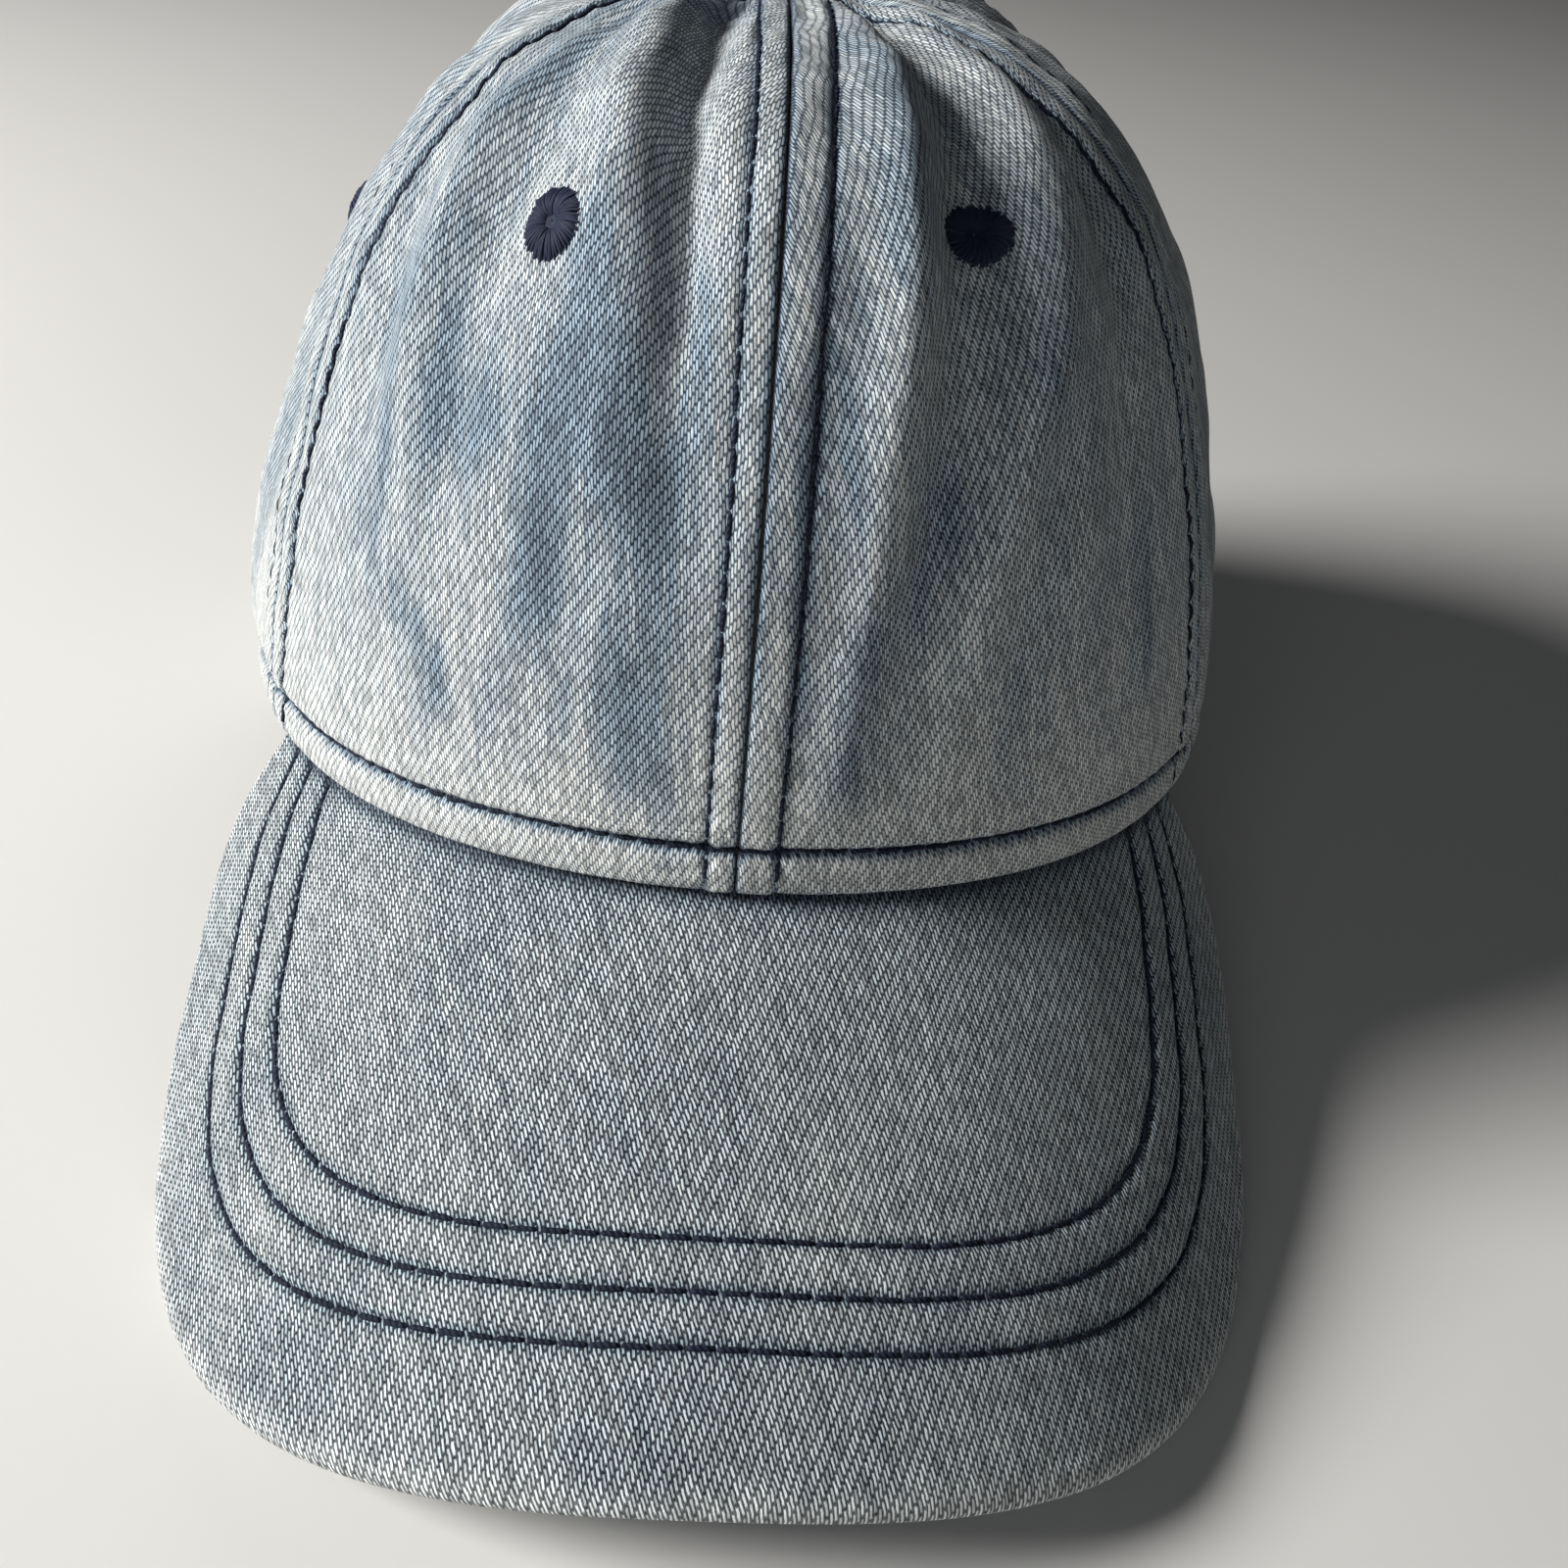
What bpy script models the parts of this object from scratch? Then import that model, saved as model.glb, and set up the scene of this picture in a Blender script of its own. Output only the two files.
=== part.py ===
"""A six-panel washed-denim baseball cap, resting on a table.

Metres, +Z up, the brim points along -Y. The wearer's left is +X. The table is z = 0: the cap stands on
the two low sides of its arched brim and on the back of its crown. The shapes are worked out round the
middle of the crown, and moved at the end so that the origin is under the middle of the whole cap.
"""

import math

import bmesh
import bpy
from mathutils import Matrix, Vector

MM = 0.001

# Driving dimensions of the crown
HALF_LENGTH = 98.0 * MM       # half the crown's outer length, front to back
HALF_WIDTH = 83.8 * MM        # half its outer width
CROWN_TOP = 141.5 * MM        # height of the crown's top above the table
TOP_SHIFT = -5.8 * MM         # the top stands this far forward of the middle
BAND = 10.5 * MM              # the wall is upright for this height above the rim in front
BACK_BAND = 30.0 * MM         # and for this height at the back, where the strap runs
BAND_CHANGE = (math.radians(90), math.radians(130))
SHOULDER_FRONT = 0.40         # roundness of the meridians: small is boxy
SHOULDER_SIDE = 0.60
SHOULDER_RISE = 1.675
FRONT_SEAM = math.radians(57) # angle of the seams at the brim's ends, from the front
BACK_SEAM = math.radians(118) # angle of the seams behind the ears
RIM_FLAT = math.radians(117)  # from here back the rim lies on the table
TOP_HOLE = 0.028              # share of the plan left open at the top, for the button's shank

# The strap slides along a true circle, so the back of the crown is one too
BACK_RADIUS = 75.0 * MM
BACK_CENTRE_Y = HALF_LENGTH - BACK_RADIUS
BACK_BLEND = (math.radians(122), math.radians(134))

# Driving dimensions of the brim, a flat crescent bent round a cylinder that slopes down to the front
ARCH_RADIUS = 103.3 * MM
BRIM_SLOPE = math.radians(24.8)
BRIM_HALF_WIDTH = 91.7 * MM   # measured round the arch
BRIM_LENGTH = 72.1 * MM       # from the crown to the tip, along the middle
BRIM_TAIL = 49.9 * MM         # how fast the sides draw in behind the widest place
BRIM_WIDEST = -1.3 * MM       # the widest place, forward of the crown's front
BRIM_ROUNDNESS = 2.7          # exponent of the outline: 2 is an ellipse
COVER = 1.0 * MM
COVER_MARGIN = 2.8 * MM       # the covers close over the board within this distance of the edge
BOARD = 1.7 * MM
BOARD_MARGIN = 3.6 * MM
BOARD_ENDS = math.radians(3)  # the board stops short of the corners by this angle of the crown
STITCH_SIDES = (65.2 * MM, 71.5 * MM, 77.7 * MM)
STITCH_FRONTS = (42.9 * MM, 48.9 * MM, 54.9 * MM)
STITCH_ROUNDNESS = 3.0

# Cloth and clearances
CLOTH = 1.2 * MM              # a crown panel
GAP = 0.4 * MM                # between neighbouring layers
WIDE_GAP = 0.6 * MM           # between layers whose facets don't line up
SEAM_GAP = 0.3 * MM           # between neighbouring panels
TAPE = 0.7 * MM
TAPE_WIDTH = 12.0 * MM
SWEATBAND = 1.1 * MM
SWEATBAND_INSET = 4.5 * MM    # leaves a pocket for the strap and the brim's seam
SWEATBAND_HEIGHT = 32.0 * MM
BRIM_TUCK = 3.9 * MM          # how far the brim reaches under the crown
THREAD = 0.35 * MM            # radius of a row of stitches
TOPSTITCH = 4.6 * MM          # from a seam to the stitches beside it
TAPE_TOP = 0.84               # the tapes and the stitches stop short of the button, as levels of the crown
STITCH_TOP = 0.90
RIM_STITCH = 8.2 * MM         # from the rim to the stitches above it

# The back opening, its strap and the buckle, all at the height of the rim
OPENING_HALF_WIDTH = 42.0 * MM
OPENING_HEIGHT = 52.0 * MM
OPENING_STEPS = 24
BINDING = 3.0 * MM
BINDING_RISE = 0.35 * MM      # the binding stands this far outside the cloth
STRAP_Z = (10.0 * MM, 26.0 * MM)
STRAP_OUTER = BACK_RADIUS - CLOTH - 0.5 * MM
STRAP_THICK = 1.4 * MM
STRAP_ENDS = (math.radians(-50), math.radians(52))
BUCKLE_Z = (7.0 * MM, 29.0 * MM)
PIN_ANGLE = math.radians(-13)
PIN_RADIUS = 75.9 * MM
PIN = 0.8 * MM
BORE = 1.15 * MM
BAR_ANGLE = PIN_ANGLE - 13.6 * MM / BACK_RADIUS
BAR_RADIUS = 75.5 * MM
RAIL_OUTER = 77.5 * MM
RAIL_ENDS = (BAR_ANGLE - math.radians(1.3), PIN_ANGLE + math.radians(2.6))
TAB_ENDS = (math.radians(-53), math.radians(-29))

# Eyelets and button
EYELET_FLANGE = 4.4 * MM
EYELETS = (
    ("front", math.radians(24), 0.49),
    ("side", math.radians(88), 0.47),
    ("back", math.radians(149), 0.46),
)
BUTTON_RADIUS = 7.5 * MM


def material(name, colour, roughness, metallic=0.0):
    made = bpy.data.materials.new(name)
    made.use_nodes = True
    shader = made.node_tree.nodes["Principled BSDF"]
    shader.inputs["Base Color"].default_value = (*colour, 1.0)
    shader.inputs["Roughness"].default_value = roughness
    shader.inputs["Metallic"].default_value = metallic
    return made


def smoothstep(value, low, high):
    share = min(1.0, max(0.0, (value - low) / (high - low)))
    return share * share * (3.0 - 2.0 * share)


# Surfaces of the brim and the crown


def brim_point(u, v, depth=0.0):
    """A point of the brim: u round the arch, v forward of the crown's front, depth under the top face."""
    angle = u / ARCH_RADIUS
    across = (ARCH_RADIUS - depth) * math.sin(angle)
    drop = (ARCH_RADIUS - depth) * math.cos(angle) - ARCH_RADIUS
    y = -HALF_LENGTH - v * math.cos(BRIM_SLOPE) - drop * math.sin(BRIM_SLOPE)
    z = BRIM_TOP - v * math.sin(BRIM_SLOPE) + drop * math.cos(BRIM_SLOPE)
    return Vector((across, y, z))


def brim_place(x, y, depth=0.0):
    """The u and v of the brim at a plan position, at a depth under its top face."""
    angle = math.asin(x / (ARCH_RADIUS - depth))
    drop = (ARCH_RADIUS - depth) * math.cos(angle) - ARCH_RADIUS
    return ARCH_RADIUS * angle, (-HALF_LENGTH - y - drop * math.sin(BRIM_SLOPE)) / math.cos(BRIM_SLOPE)


def outline_point(angle, half_width, length, roundness):
    """A superellipse in the brim's u and v: angle 90 degrees is the tip, 0 and 180 the widest places."""
    power = 2.0 / roundness
    across, along = math.cos(angle), math.sin(angle)
    reach = length - BRIM_WIDEST if along > 0 else BRIM_TAIL
    u = half_width * math.copysign(abs(across) ** power, across)
    v = BRIM_WIDEST + reach * math.copysign(abs(along) ** power, along)
    return u, v


def evenly(points, count):
    """count points at equal steps along a polyline of vectors."""
    steps = [(b - a).length for a, b in zip(points, points[1:])]
    total, made, walked, index = sum(steps), [points[0]], 0.0, 0
    for i in range(1, count - 1):
        wanted = total * i / (count - 1)
        while walked + steps[index] < wanted:
            walked += steps[index]
            index += 1
        made.append(points[index].lerp(points[index + 1], (wanted - walked) / steps[index]))
    return made + [points[-1]]


def plan_point(phi, inset=0.0):
    """The crown's outline in plan, phi from the front towards +X, drawn in by inset."""
    x = (HALF_WIDTH - inset) * math.sin(phi)
    y = -(HALF_LENGTH - inset) * math.cos(phi)
    share = smoothstep(abs(phi), *BACK_BLEND)
    if share > 0:
        round_y = BACK_CENTRE_Y + math.sqrt((BACK_RADIUS - inset) ** 2 - x * x)
        y = y * (1 - share) + round_y * share
    return x, y


def rim_height(phi, inset=0.0):
    """Height of the crown's edge: on the brim in front, down on the table at the back."""
    x, y = plan_point(min(abs(phi), FRONT_SEAM), inset)
    on_brim = brim_point(*brim_place(x, y)).z
    return (on_brim + GAP) * (1 - smoothstep(abs(phi), FRONT_SEAM, RIM_FLAT))


def band_height(phi):
    """Height of the upright band above the rim."""
    return BAND + (BACK_BAND - BAND) * smoothstep(abs(phi), *BAND_CHANGE)


def crown_point(phi, level, inset=0.0):
    """A point of the crown: level -1 is the rim, 0 the top of the upright band, 1 the top of the crown."""
    x, y = plan_point(phi, inset)
    band_top = rim_height(phi, inset) + band_height(phi)
    if level <= 0:
        return Vector((x, y, band_top + level * band_height(phi)))
    shoulder = SHOULDER_FRONT + (SHOULDER_SIDE - SHOULDER_FRONT) * math.sin(phi) ** 2
    share = math.cos(level * math.pi / 2)
    rise = (1.0 - share ** (2.0 / shoulder)) ** (SHOULDER_RISE / 2.0)
    z = band_top + (CROWN_TOP - inset - band_top) * rise
    return Vector((x * share, y * share + TOP_SHIFT * rise, z))


def level_at(phi, height):
    """The level of the crown's meridian at a height above the table."""
    low, high = -1.5, 0.99
    for _ in range(40):
        middle = (low + high) / 2
        low, high = (middle, high) if crown_point(phi, middle).z < height else (low, middle)
    return (low + high) / 2


def back_phi(x):
    """The crown angle of a place behind the middle, x to the side of it."""
    return math.copysign(math.pi - math.asin(abs(x) / HALF_WIDTH), x)


def outward(phi, level):
    """The crown's outward normal."""
    small = 1e-4
    along = crown_point(phi + small, level) - crown_point(phi - small, level)
    up = crown_point(phi, level + small) - crown_point(phi, level - small)
    return along.cross(up).normalized()


def levels(start, end, count):
    """Levels at even steps along the meridian of the front seam."""
    fine = 400
    reference = FRONT_SEAM
    walk = [start + (end - start) * i / fine for i in range(fine + 1)]
    places = [crown_point(reference, level) for level in walk]
    reach = [0.0]
    for a, b in zip(places, places[1:]):
        reach.append(reach[-1] + (b - a).length)
    made, index = [], 0
    for i in range(count):
        wanted = reach[-1] * i / (count - 1)
        while index < fine - 1 and reach[index + 1] < wanted:
            index += 1
        share = (wanted - reach[index]) / (reach[index + 1] - reach[index])
        made.append(walk[index] + (walk[index + 1] - walk[index]) * min(share, 1.0))
    return made


def brim_outline(margin):
    """The brim's outline in u and v, drawn in by a margin, from the right corner round to the left one."""
    corner_v = brim_place(*plan_point(FRONT_SEAM))[1]
    points = []
    for degree in range(240, -61, -1):
        angle = math.radians(degree)
        u, v = outline_point(angle, BRIM_HALF_WIDTH - margin, BRIM_LENGTH - margin, BRIM_ROUNDNESS)
        if v > corner_v + margin:
            points.append(Vector((u, v)))
    return points


# The brim stands on its sides: its height follows from its thickness and its lowest point
BRIM_DEPTH = 2 * COVER + BOARD + 2 * GAP
BRIM_TOP = 0.0
BRIM_TOP = -min(brim_point(*spot, BRIM_DEPTH).z for spot in brim_outline(0.0))
FOOT_CHANGE = (FRONT_SEAM, FRONT_SEAM + math.radians(8))
STATIONS = [-1.0, -0.5] + levels(0.0, 1.0 - TOP_HOLE, 13)

# The middle of the whole cap, from the tip of the brim to the buckle
TIP_Y = -HALF_LENGTH - BRIM_LENGTH * math.cos(BRIM_SLOPE)
BACK_Y = BACK_CENTRE_Y + RAIL_OUTER * math.cos(RAIL_ENDS[1])
ORIGIN_SHIFT = -(TIP_Y + BACK_Y) / 2


# Solids


def add_object(name, mesh, finish):
    mesh.materials.append(finish)
    made = bpy.data.objects.new(name, mesh)
    bpy.context.scene.collection.objects.link(made)
    return made


def closed_object(name, work, finish, smooth=True):
    """A mesh object from a bmesh, with its faces turned outwards."""
    bmesh.ops.recalc_face_normals(work, faces=work.faces)
    mesh = bpy.data.meshes.new(name)
    work.to_mesh(mesh)
    work.free()
    if smooth:
        mesh.shade_smooth()
        mesh.set_sharp_from_angle(angle=math.radians(40))
    return add_object(name, mesh, finish)


def sheet(name, outer, inner, finish):
    """A closed shell between two grids of points, each a list of rows."""
    work = bmesh.new()
    faces = [[[work.verts.new(p) for p in row] for row in grid] for grid in (outer, inner)]
    rows, columns = len(outer), len(outer[0])
    for grid in faces:
        for i in range(rows - 1):
            for j in range(columns - 1):
                work.faces.new((grid[i][j], grid[i][j + 1], grid[i + 1][j + 1], grid[i + 1][j]))
    border = [(0, j) for j in range(columns)] + [(i, columns - 1) for i in range(1, rows)]
    border += [(rows - 1, j) for j in range(columns - 2, -1, -1)] + [(i, 0) for i in range(rows - 2, 0, -1)]
    for (i, j), (k, m) in zip(border, border[1:] + border[:1]):
        work.faces.new((faces[0][i][j], faces[0][k][m], faces[1][k][m], faces[1][i][j]))
    return closed_object(name, work, finish)


def prism(name, outline, low, high, finish):
    """A plan outline, raised from low to high."""
    work = bmesh.new()
    floor = work.faces.new([work.verts.new((x, y, low)) for x, y in outline])
    raised = bmesh.ops.extrude_face_region(work, geom=[floor])["geom"]
    bmesh.ops.translate(
        work, verts=[v for v in raised if isinstance(v, bmesh.types.BMVert)], vec=(0, 0, high - low)
    )
    return closed_object(name, work, finish, smooth=False)


def turned(name, profile, steps, finish, place):
    """A profile of (radius, height) points turned round Z, then moved by the matrix place."""
    work = bmesh.new()
    points = [work.verts.new((radius, 0, height)) for radius, height in profile]
    edges = [work.edges.new(pair) for pair in zip(points, points[1:])]
    if profile[0][0] > 0:
        edges.append(work.edges.new((points[-1], points[0])))
    bmesh.ops.spin(
        work, geom=points + edges, cent=(0, 0, 0), axis=(0, 0, 1), angle=2 * math.pi, steps=steps,
        use_merge=True,
    )
    bmesh.ops.remove_doubles(work, verts=work.verts, dist=1e-6)
    made = closed_object(name, work, finish)
    made.matrix_world = place
    return made


def rod(name, radius, low, high, steps, finish, place):
    """A round bar along Z."""
    return turned(name, [(0, low), (radius, low), (radius, high), (0, high)], steps, finish, place)


def thread(name, points, finish, radius=THREAD):
    """A row of stitches as one thin cord along its points."""
    curve = bpy.data.curves.new(name, "CURVE")
    curve.dimensions = "3D"
    curve.bevel_depth = radius
    curve.bevel_resolution = 0
    curve.use_fill_caps = True
    spline = curve.splines.new("POLY")
    spline.points.add(len(points) - 1)
    for slot, point in zip(spline.points, points):
        slot.co = (*point, 1.0)
    curve.materials.append(finish)
    made = bpy.data.objects.new(name, curve)
    bpy.context.scene.collection.objects.link(made)
    return made


def boolean(target, operation, other):
    """Joins or cuts target with other, which stays in the file as a hidden cutter."""
    step = target.modifiers.new(operation.title(), "BOOLEAN")
    step.operation = operation
    step.object = other
    step.solver = "EXACT"
    other.hide_render = True
    other.display_type = "WIRE"


def polar(radius, angle):
    """A plan point round the strap's centre, angle from the back towards +X."""
    return radius * math.sin(angle), radius * math.cos(angle)


def sector(inner, outer, start, end, steps):
    """The plan outline of a piece of ring."""
    angles = [start + (end - start) * i / steps for i in range(steps + 1)]
    return [polar(outer, a) for a in angles] + [polar(inner, a) for a in reversed(angles)]


# Crown


def opening_edge(share, grow=0.0):
    """The back opening's edge as (x, height): share runs from one foot over to the other."""
    angle = math.pi * share
    return (OPENING_HALF_WIDTH + grow) * math.cos(angle), (OPENING_HEIGHT + grow) * math.sin(angle)


def seam_side(phi, level, sign, distance):
    """phi moved sideways by a distance, measured along the crown at this level."""
    pace = math.hypot(HALF_WIDTH * math.cos(phi), HALF_LENGTH * math.sin(phi))
    return phi + sign * distance / (pace * math.cos(max(level, 0.0) * math.pi / 2))


def panel(name, start, end, finish, columns=9):
    """A crown panel between two seams, as one curved sheet of cloth."""
    grids = []
    for inset in (0.0, CLOTH):
        rows = []
        for level in STATIONS:
            low = seam_side(start, level, 1, SEAM_GAP / 2)
            high = seam_side(end, level, -1, SEAM_GAP / 2)
            angles = [low + (high - low) * j / (columns - 1) for j in range(columns)]
            rows.append([crown_point(phi, level, inset) for phi in angles])
        grids.append(rows)
    return sheet(name, grids[0], grids[1], finish)


def opening_cutter(finish):
    """An arch-shaped block through the back of the crown."""
    steps = OPENING_STEPS
    near, far, below = 60 * MM, 110 * MM, -5 * MM
    outline = [opening_edge(i / steps, BINDING + SEAM_GAP) for i in range(steps + 1)]
    outline = [(outline[0][0], below)] + outline + [(outline[-1][0], below)]
    work = bmesh.new()
    face = work.faces.new([work.verts.new((x, near, z)) for x, z in outline])
    raised = bmesh.ops.extrude_face_region(work, geom=[face])["geom"]
    moved = [v for v in raised if isinstance(v, bmesh.types.BMVert)]
    bmesh.ops.translate(work, verts=moved, vec=(0, far - near, 0))
    return closed_object("opening_cutter", work, finish, smooth=False)


def crown_at(x, height, inset):
    """The point of the crown's back at a given x and height."""
    phi = back_phi(x)
    for _ in range(6):
        level = level_at(phi, height)
        phi = back_phi(x / math.cos(max(level, 0.0) * math.pi / 2))
    return Vector((x, crown_point(phi, level, inset).y, height))


def opening_binding(finish):
    """The tape bound round the edge of the back opening, from foot to foot."""
    steps = OPENING_STEPS
    grids = []
    for inset in (-BINDING_RISE, CLOTH):
        rows = []
        for i in range(steps + 1):
            edges = (opening_edge(i / steps, grow) for grow in (0.0, BINDING))
            rows.append([crown_at(x, max(height, 0.0), inset) for x, height in edges])
        grids.append(rows)
    return sheet("opening_binding", grids[0], grids[1], finish)


def seam_tape(name, phi, first, finish):
    """The tape that covers a seam inside the crown."""
    half = TAPE_WIDTH / 2
    grids = []
    for inset in (CLOTH + WIDE_GAP, CLOTH + WIDE_GAP + TAPE):
        rows = []
        for level in first:
            sides = (seam_side(phi, level, -1, half), phi, seam_side(phi, level, 1, half))
            rows.append([crown_point(angle, level, inset) for angle in sides])
        grids.append(rows)
    return sheet(name, grids[0], grids[1], finish)


def topstitch(name, phi, sign, first, finish):
    """A row of stitches beside a seam, on the outside of the crown."""
    points = []
    for level in first:
        side = seam_side(phi, level, sign, TOPSTITCH)
        points.append(crown_point(side, level, -(THREAD + GAP)))
    return thread(name, points, finish)


def sweatband(finish):
    """The soft band inside the rim, open at the back opening. Its foot covers the brim's inner edge."""
    columns = 49
    reach = back_phi(OPENING_HALF_WIDTH + BINDING)
    grids = []
    for inset in (SWEATBAND_INSET, SWEATBAND_INSET + SWEATBAND):
        rows = []
        for share in (0.0, 0.35, 0.7, 1.0):
            row = []
            for j in range(columns):
                phi = reach * (2 * j / (columns - 1) - 1)
                foot = rim_height(phi, inset) - BRIM_DEPTH * (1 - smoothstep(abs(phi), *FOOT_CHANGE))
                height = foot + (rim_height(phi) + SWEATBAND_HEIGHT - foot) * share
                row.append(crown_point(phi, level_at(phi, height), inset))
            rows.append(row)
        grids.append(rows)
    return sheet("sweatband", grids[0], grids[1], finish)


def rim_stitch(finish):
    """The row of stitches that runs round the rim and holds the sweatband, stopping at the opening."""
    steps = 72
    reach = back_phi(OPENING_HALF_WIDTH + 2 * BINDING)
    angles = [reach * (2 * i / steps - 1) for i in range(steps + 1)]
    points = [crown_point(phi, RIM_STITCH / band_height(phi) - 1.0, -(THREAD + GAP)) for phi in angles]
    return thread("rim_stitch_row", points, finish)


def eyelet(name, phi, level, host, finish):
    """An embroidered air hole: a ring of thread through the cloth, with a flange on each face."""
    bore, barrel, rise = 1.3 * MM, 2.0 * MM, 0.7 * MM
    over, under = 0.7 * MM, -CLOTH - 0.7 * MM
    profile = [
        (bore, over + rise - 0.2 * MM),
        (barrel, over + rise),
        (EYELET_FLANGE - 0.4 * MM, over + rise - 0.1 * MM),
        (EYELET_FLANGE, over),
        (barrel, over),
        (barrel, under),
        (EYELET_FLANGE - 0.6 * MM, under),
        (EYELET_FLANGE - 0.9 * MM, under - rise),
        (bore, under - rise),
    ]
    turn = outward(phi, level).to_track_quat("Z", "Y").to_matrix().to_4x4()
    place = Matrix.Translation(crown_point(phi, level)) @ turn
    turned(name, profile, 16, finish, place)
    boolean(host, "DIFFERENCE", rod(f"{name}_cutter", barrel + GAP, -4 * MM, 4 * MM, 16, finish, place))


def button(finish, metal):
    """The covered button on top, and the riveted plate that holds it from inside."""
    place = Matrix.Translation((0, TOP_SHIFT, CROWN_TOP))
    shank, clear = 1.6 * MM, 0.5 * MM
    dome = [
        (0, 4.6 * MM), (3.2 * MM, 4.1 * MM), (5.8 * MM, 2.9 * MM), (BUTTON_RADIUS, 1.2 * MM),
        (BUTTON_RADIUS - 0.5 * MM, clear), (shank, clear), (shank, -2.6 * MM), (0, -2.6 * MM),
    ]
    turned("top_button", dome, 20, finish, place)
    under, thick = -3.0 * MM, 1.0 * MM
    plate = [
        (0, under), (5.0 * MM, under), (5.5 * MM, under - thick / 2), (5.0 * MM, under - thick),
        (0, under - thick),
    ]
    turned("button_back_plate", plate, 16, metal, place)


# Brim


def brim_sheet(name, depths, margins, ends, finish, shut=None):
    """One layer of the brim between two depths, out to the last of its margins.

    shut is the depth to which the face towards the board closes at the edge.
    """
    columns, rings = 33, 5
    reach = FRONT_SEAM - ends
    angles = [reach * (j / 100 - 1) for j in range(201)]
    edges = [evenly(brim_outline(margin), columns) for margin in margins]
    towards_board = max(depths) if shut is not None and shut > max(depths) else min(depths)
    grids = []
    for depth in depths:
        tuck = [Vector(brim_place(*plan_point(phi, BRIM_TUCK), depth)) for phi in angles]
        inner = evenly(tuck, columns)
        spots = [[a.lerp(b, k / rings) for a, b in zip(inner, edges[0])] for k in range(rings)] + edges
        rows = [[brim_point(*spot, depth) for spot in row] for row in spots]
        if shut is not None and depth == towards_board:
            rows[-1] = [brim_point(*spot, shut) for spot in edges[-1]]
        grids.append(rows)
    return sheet(name, grids[0], grids[1], finish)


def beside_crown(u):
    """The v at which the crown's edge crosses this u of the brim."""
    x = ARCH_RADIUS * math.sin(u / ARCH_RADIUS)
    return brim_place(*plan_point(math.asin(max(-1.0, min(1.0, x / HALF_WIDTH)))))[1]


def brim_stitch(name, half_width, front, finish):
    """A row of stitches round the brim, from the crown on one side to the crown on the other."""
    spots = []
    for degree in range(215, -36, -1):
        u, v = outline_point(math.radians(degree), half_width, front, STITCH_ROUNDNESS)
        if v > beside_crown(u) + 0.8 * MM:
            spots.append(Vector((u, v)))
    return thread(name, [brim_point(*spot, -(THREAD + GAP)) for spot in evenly(spots, 44)], finish)


# Back strap and buckle, built round the centre of the strap's circle


def back_strap(finish):
    inner = STRAP_OUTER - STRAP_THICK
    strap = prism("back_strap", sector(inner, STRAP_OUTER, *STRAP_ENDS, 24), *STRAP_Z, finish)
    strap.location.y = BACK_CENTRE_Y
    return strap


def arc(radius, start, end, steps):
    return [polar(radius, start + (end - start) * i / steps) for i in range(steps + 1)]


def buckle_tab(finish):
    """A folded strip sewn to the outside of the right back panel, looped round the buckle's bar."""
    half, loop = 0.4 * MM, 1.45 * MM
    lower = BACK_RADIUS + BINDING_RISE + GAP + half
    upper = lower + 2 * half + 0.3 * MM
    centre = Vector(polar(BAR_RADIUS, BAR_ANGLE))
    turns = [math.radians(-110 + 20 * i) - BAR_ANGLE for i in range(11)]
    round_bar = [centre + loop * Vector((math.cos(turn), math.sin(turn))) for turn in turns]
    path = arc(lower, *TAB_ENDS, 8) + [tuple(point) for point in round_bar] + arc(upper, *TAB_ENDS, 8)[::-1]
    left, right = [], []
    for i, point in enumerate(path):
        before, after = path[max(i - 1, 0)], path[min(i + 1, len(path) - 1)]
        side = Vector((before[1] - after[1], after[0] - before[0])).normalized() * half
        left.append(tuple(Vector(point) + side))
        right.append(tuple(Vector(point) - side))
    tab = prism("buckle_tab", left + right[::-1], *STRAP_Z, finish)
    tab.location.y = BACK_CENTRE_Y
    return tab


def upright(radius, angle):
    """A place on the strap's circle, turned so that local +Y points outwards."""
    x, y = polar(radius, angle)
    return Matrix.Translation((x, BACK_CENTRE_Y + y, 0)) @ Matrix.Rotation(-angle, 4, "Z")


def buckle_frame(metal):
    """Back plate behind the strap, two side rails and the bar that the tab holds, as one piece."""
    low, high = BUCKLE_Z
    wall, inset, plate = 1.4 * MM, 0.4 * MM, 1.0 * MM
    plate_outer = STRAP_OUTER - STRAP_THICK - GAP
    start, end = RAIL_ENDS
    margin = math.radians(1)
    base_outline = sector(plate_outer - plate, plate_outer, start + margin, end - margin, 6)
    base = prism("buckle_frame", base_outline, low + inset, high - inset, metal)
    base.location.y = BACK_CENTRE_Y
    for side, bottom in (("low", low), ("high", high - wall)):
        outline = sector(plate_outer - plate - 0.3 * MM, RAIL_OUTER, start, end, 6)
        rail = prism(f"rail_{side}", outline, bottom, bottom + wall, metal)
        rail.location.y = BACK_CENTRE_Y
        boolean(base, "UNION", rail)
    bar = rod("frame_bar", 0.7 * MM, low + inset, high - inset, 12, metal, upright(BAR_RADIUS, BAR_ANGLE))
    boolean(base, "UNION", bar)
    bore = rod("frame_bore", BORE, low - wall, high + wall, 16, metal, upright(PIN_RADIUS, PIN_ANGLE))
    boolean(base, "DIFFERENCE", bore)
    return base


def buckle_pin(metal):
    """The lever's pin, through both rails."""
    low, high = BUCKLE_Z[0] - 0.3 * MM, BUCKLE_Z[1] + 0.3 * MM
    return rod("buckle_pin", PIN, low, high, 14, metal, upright(PIN_RADIUS, PIN_ANGLE))


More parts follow.
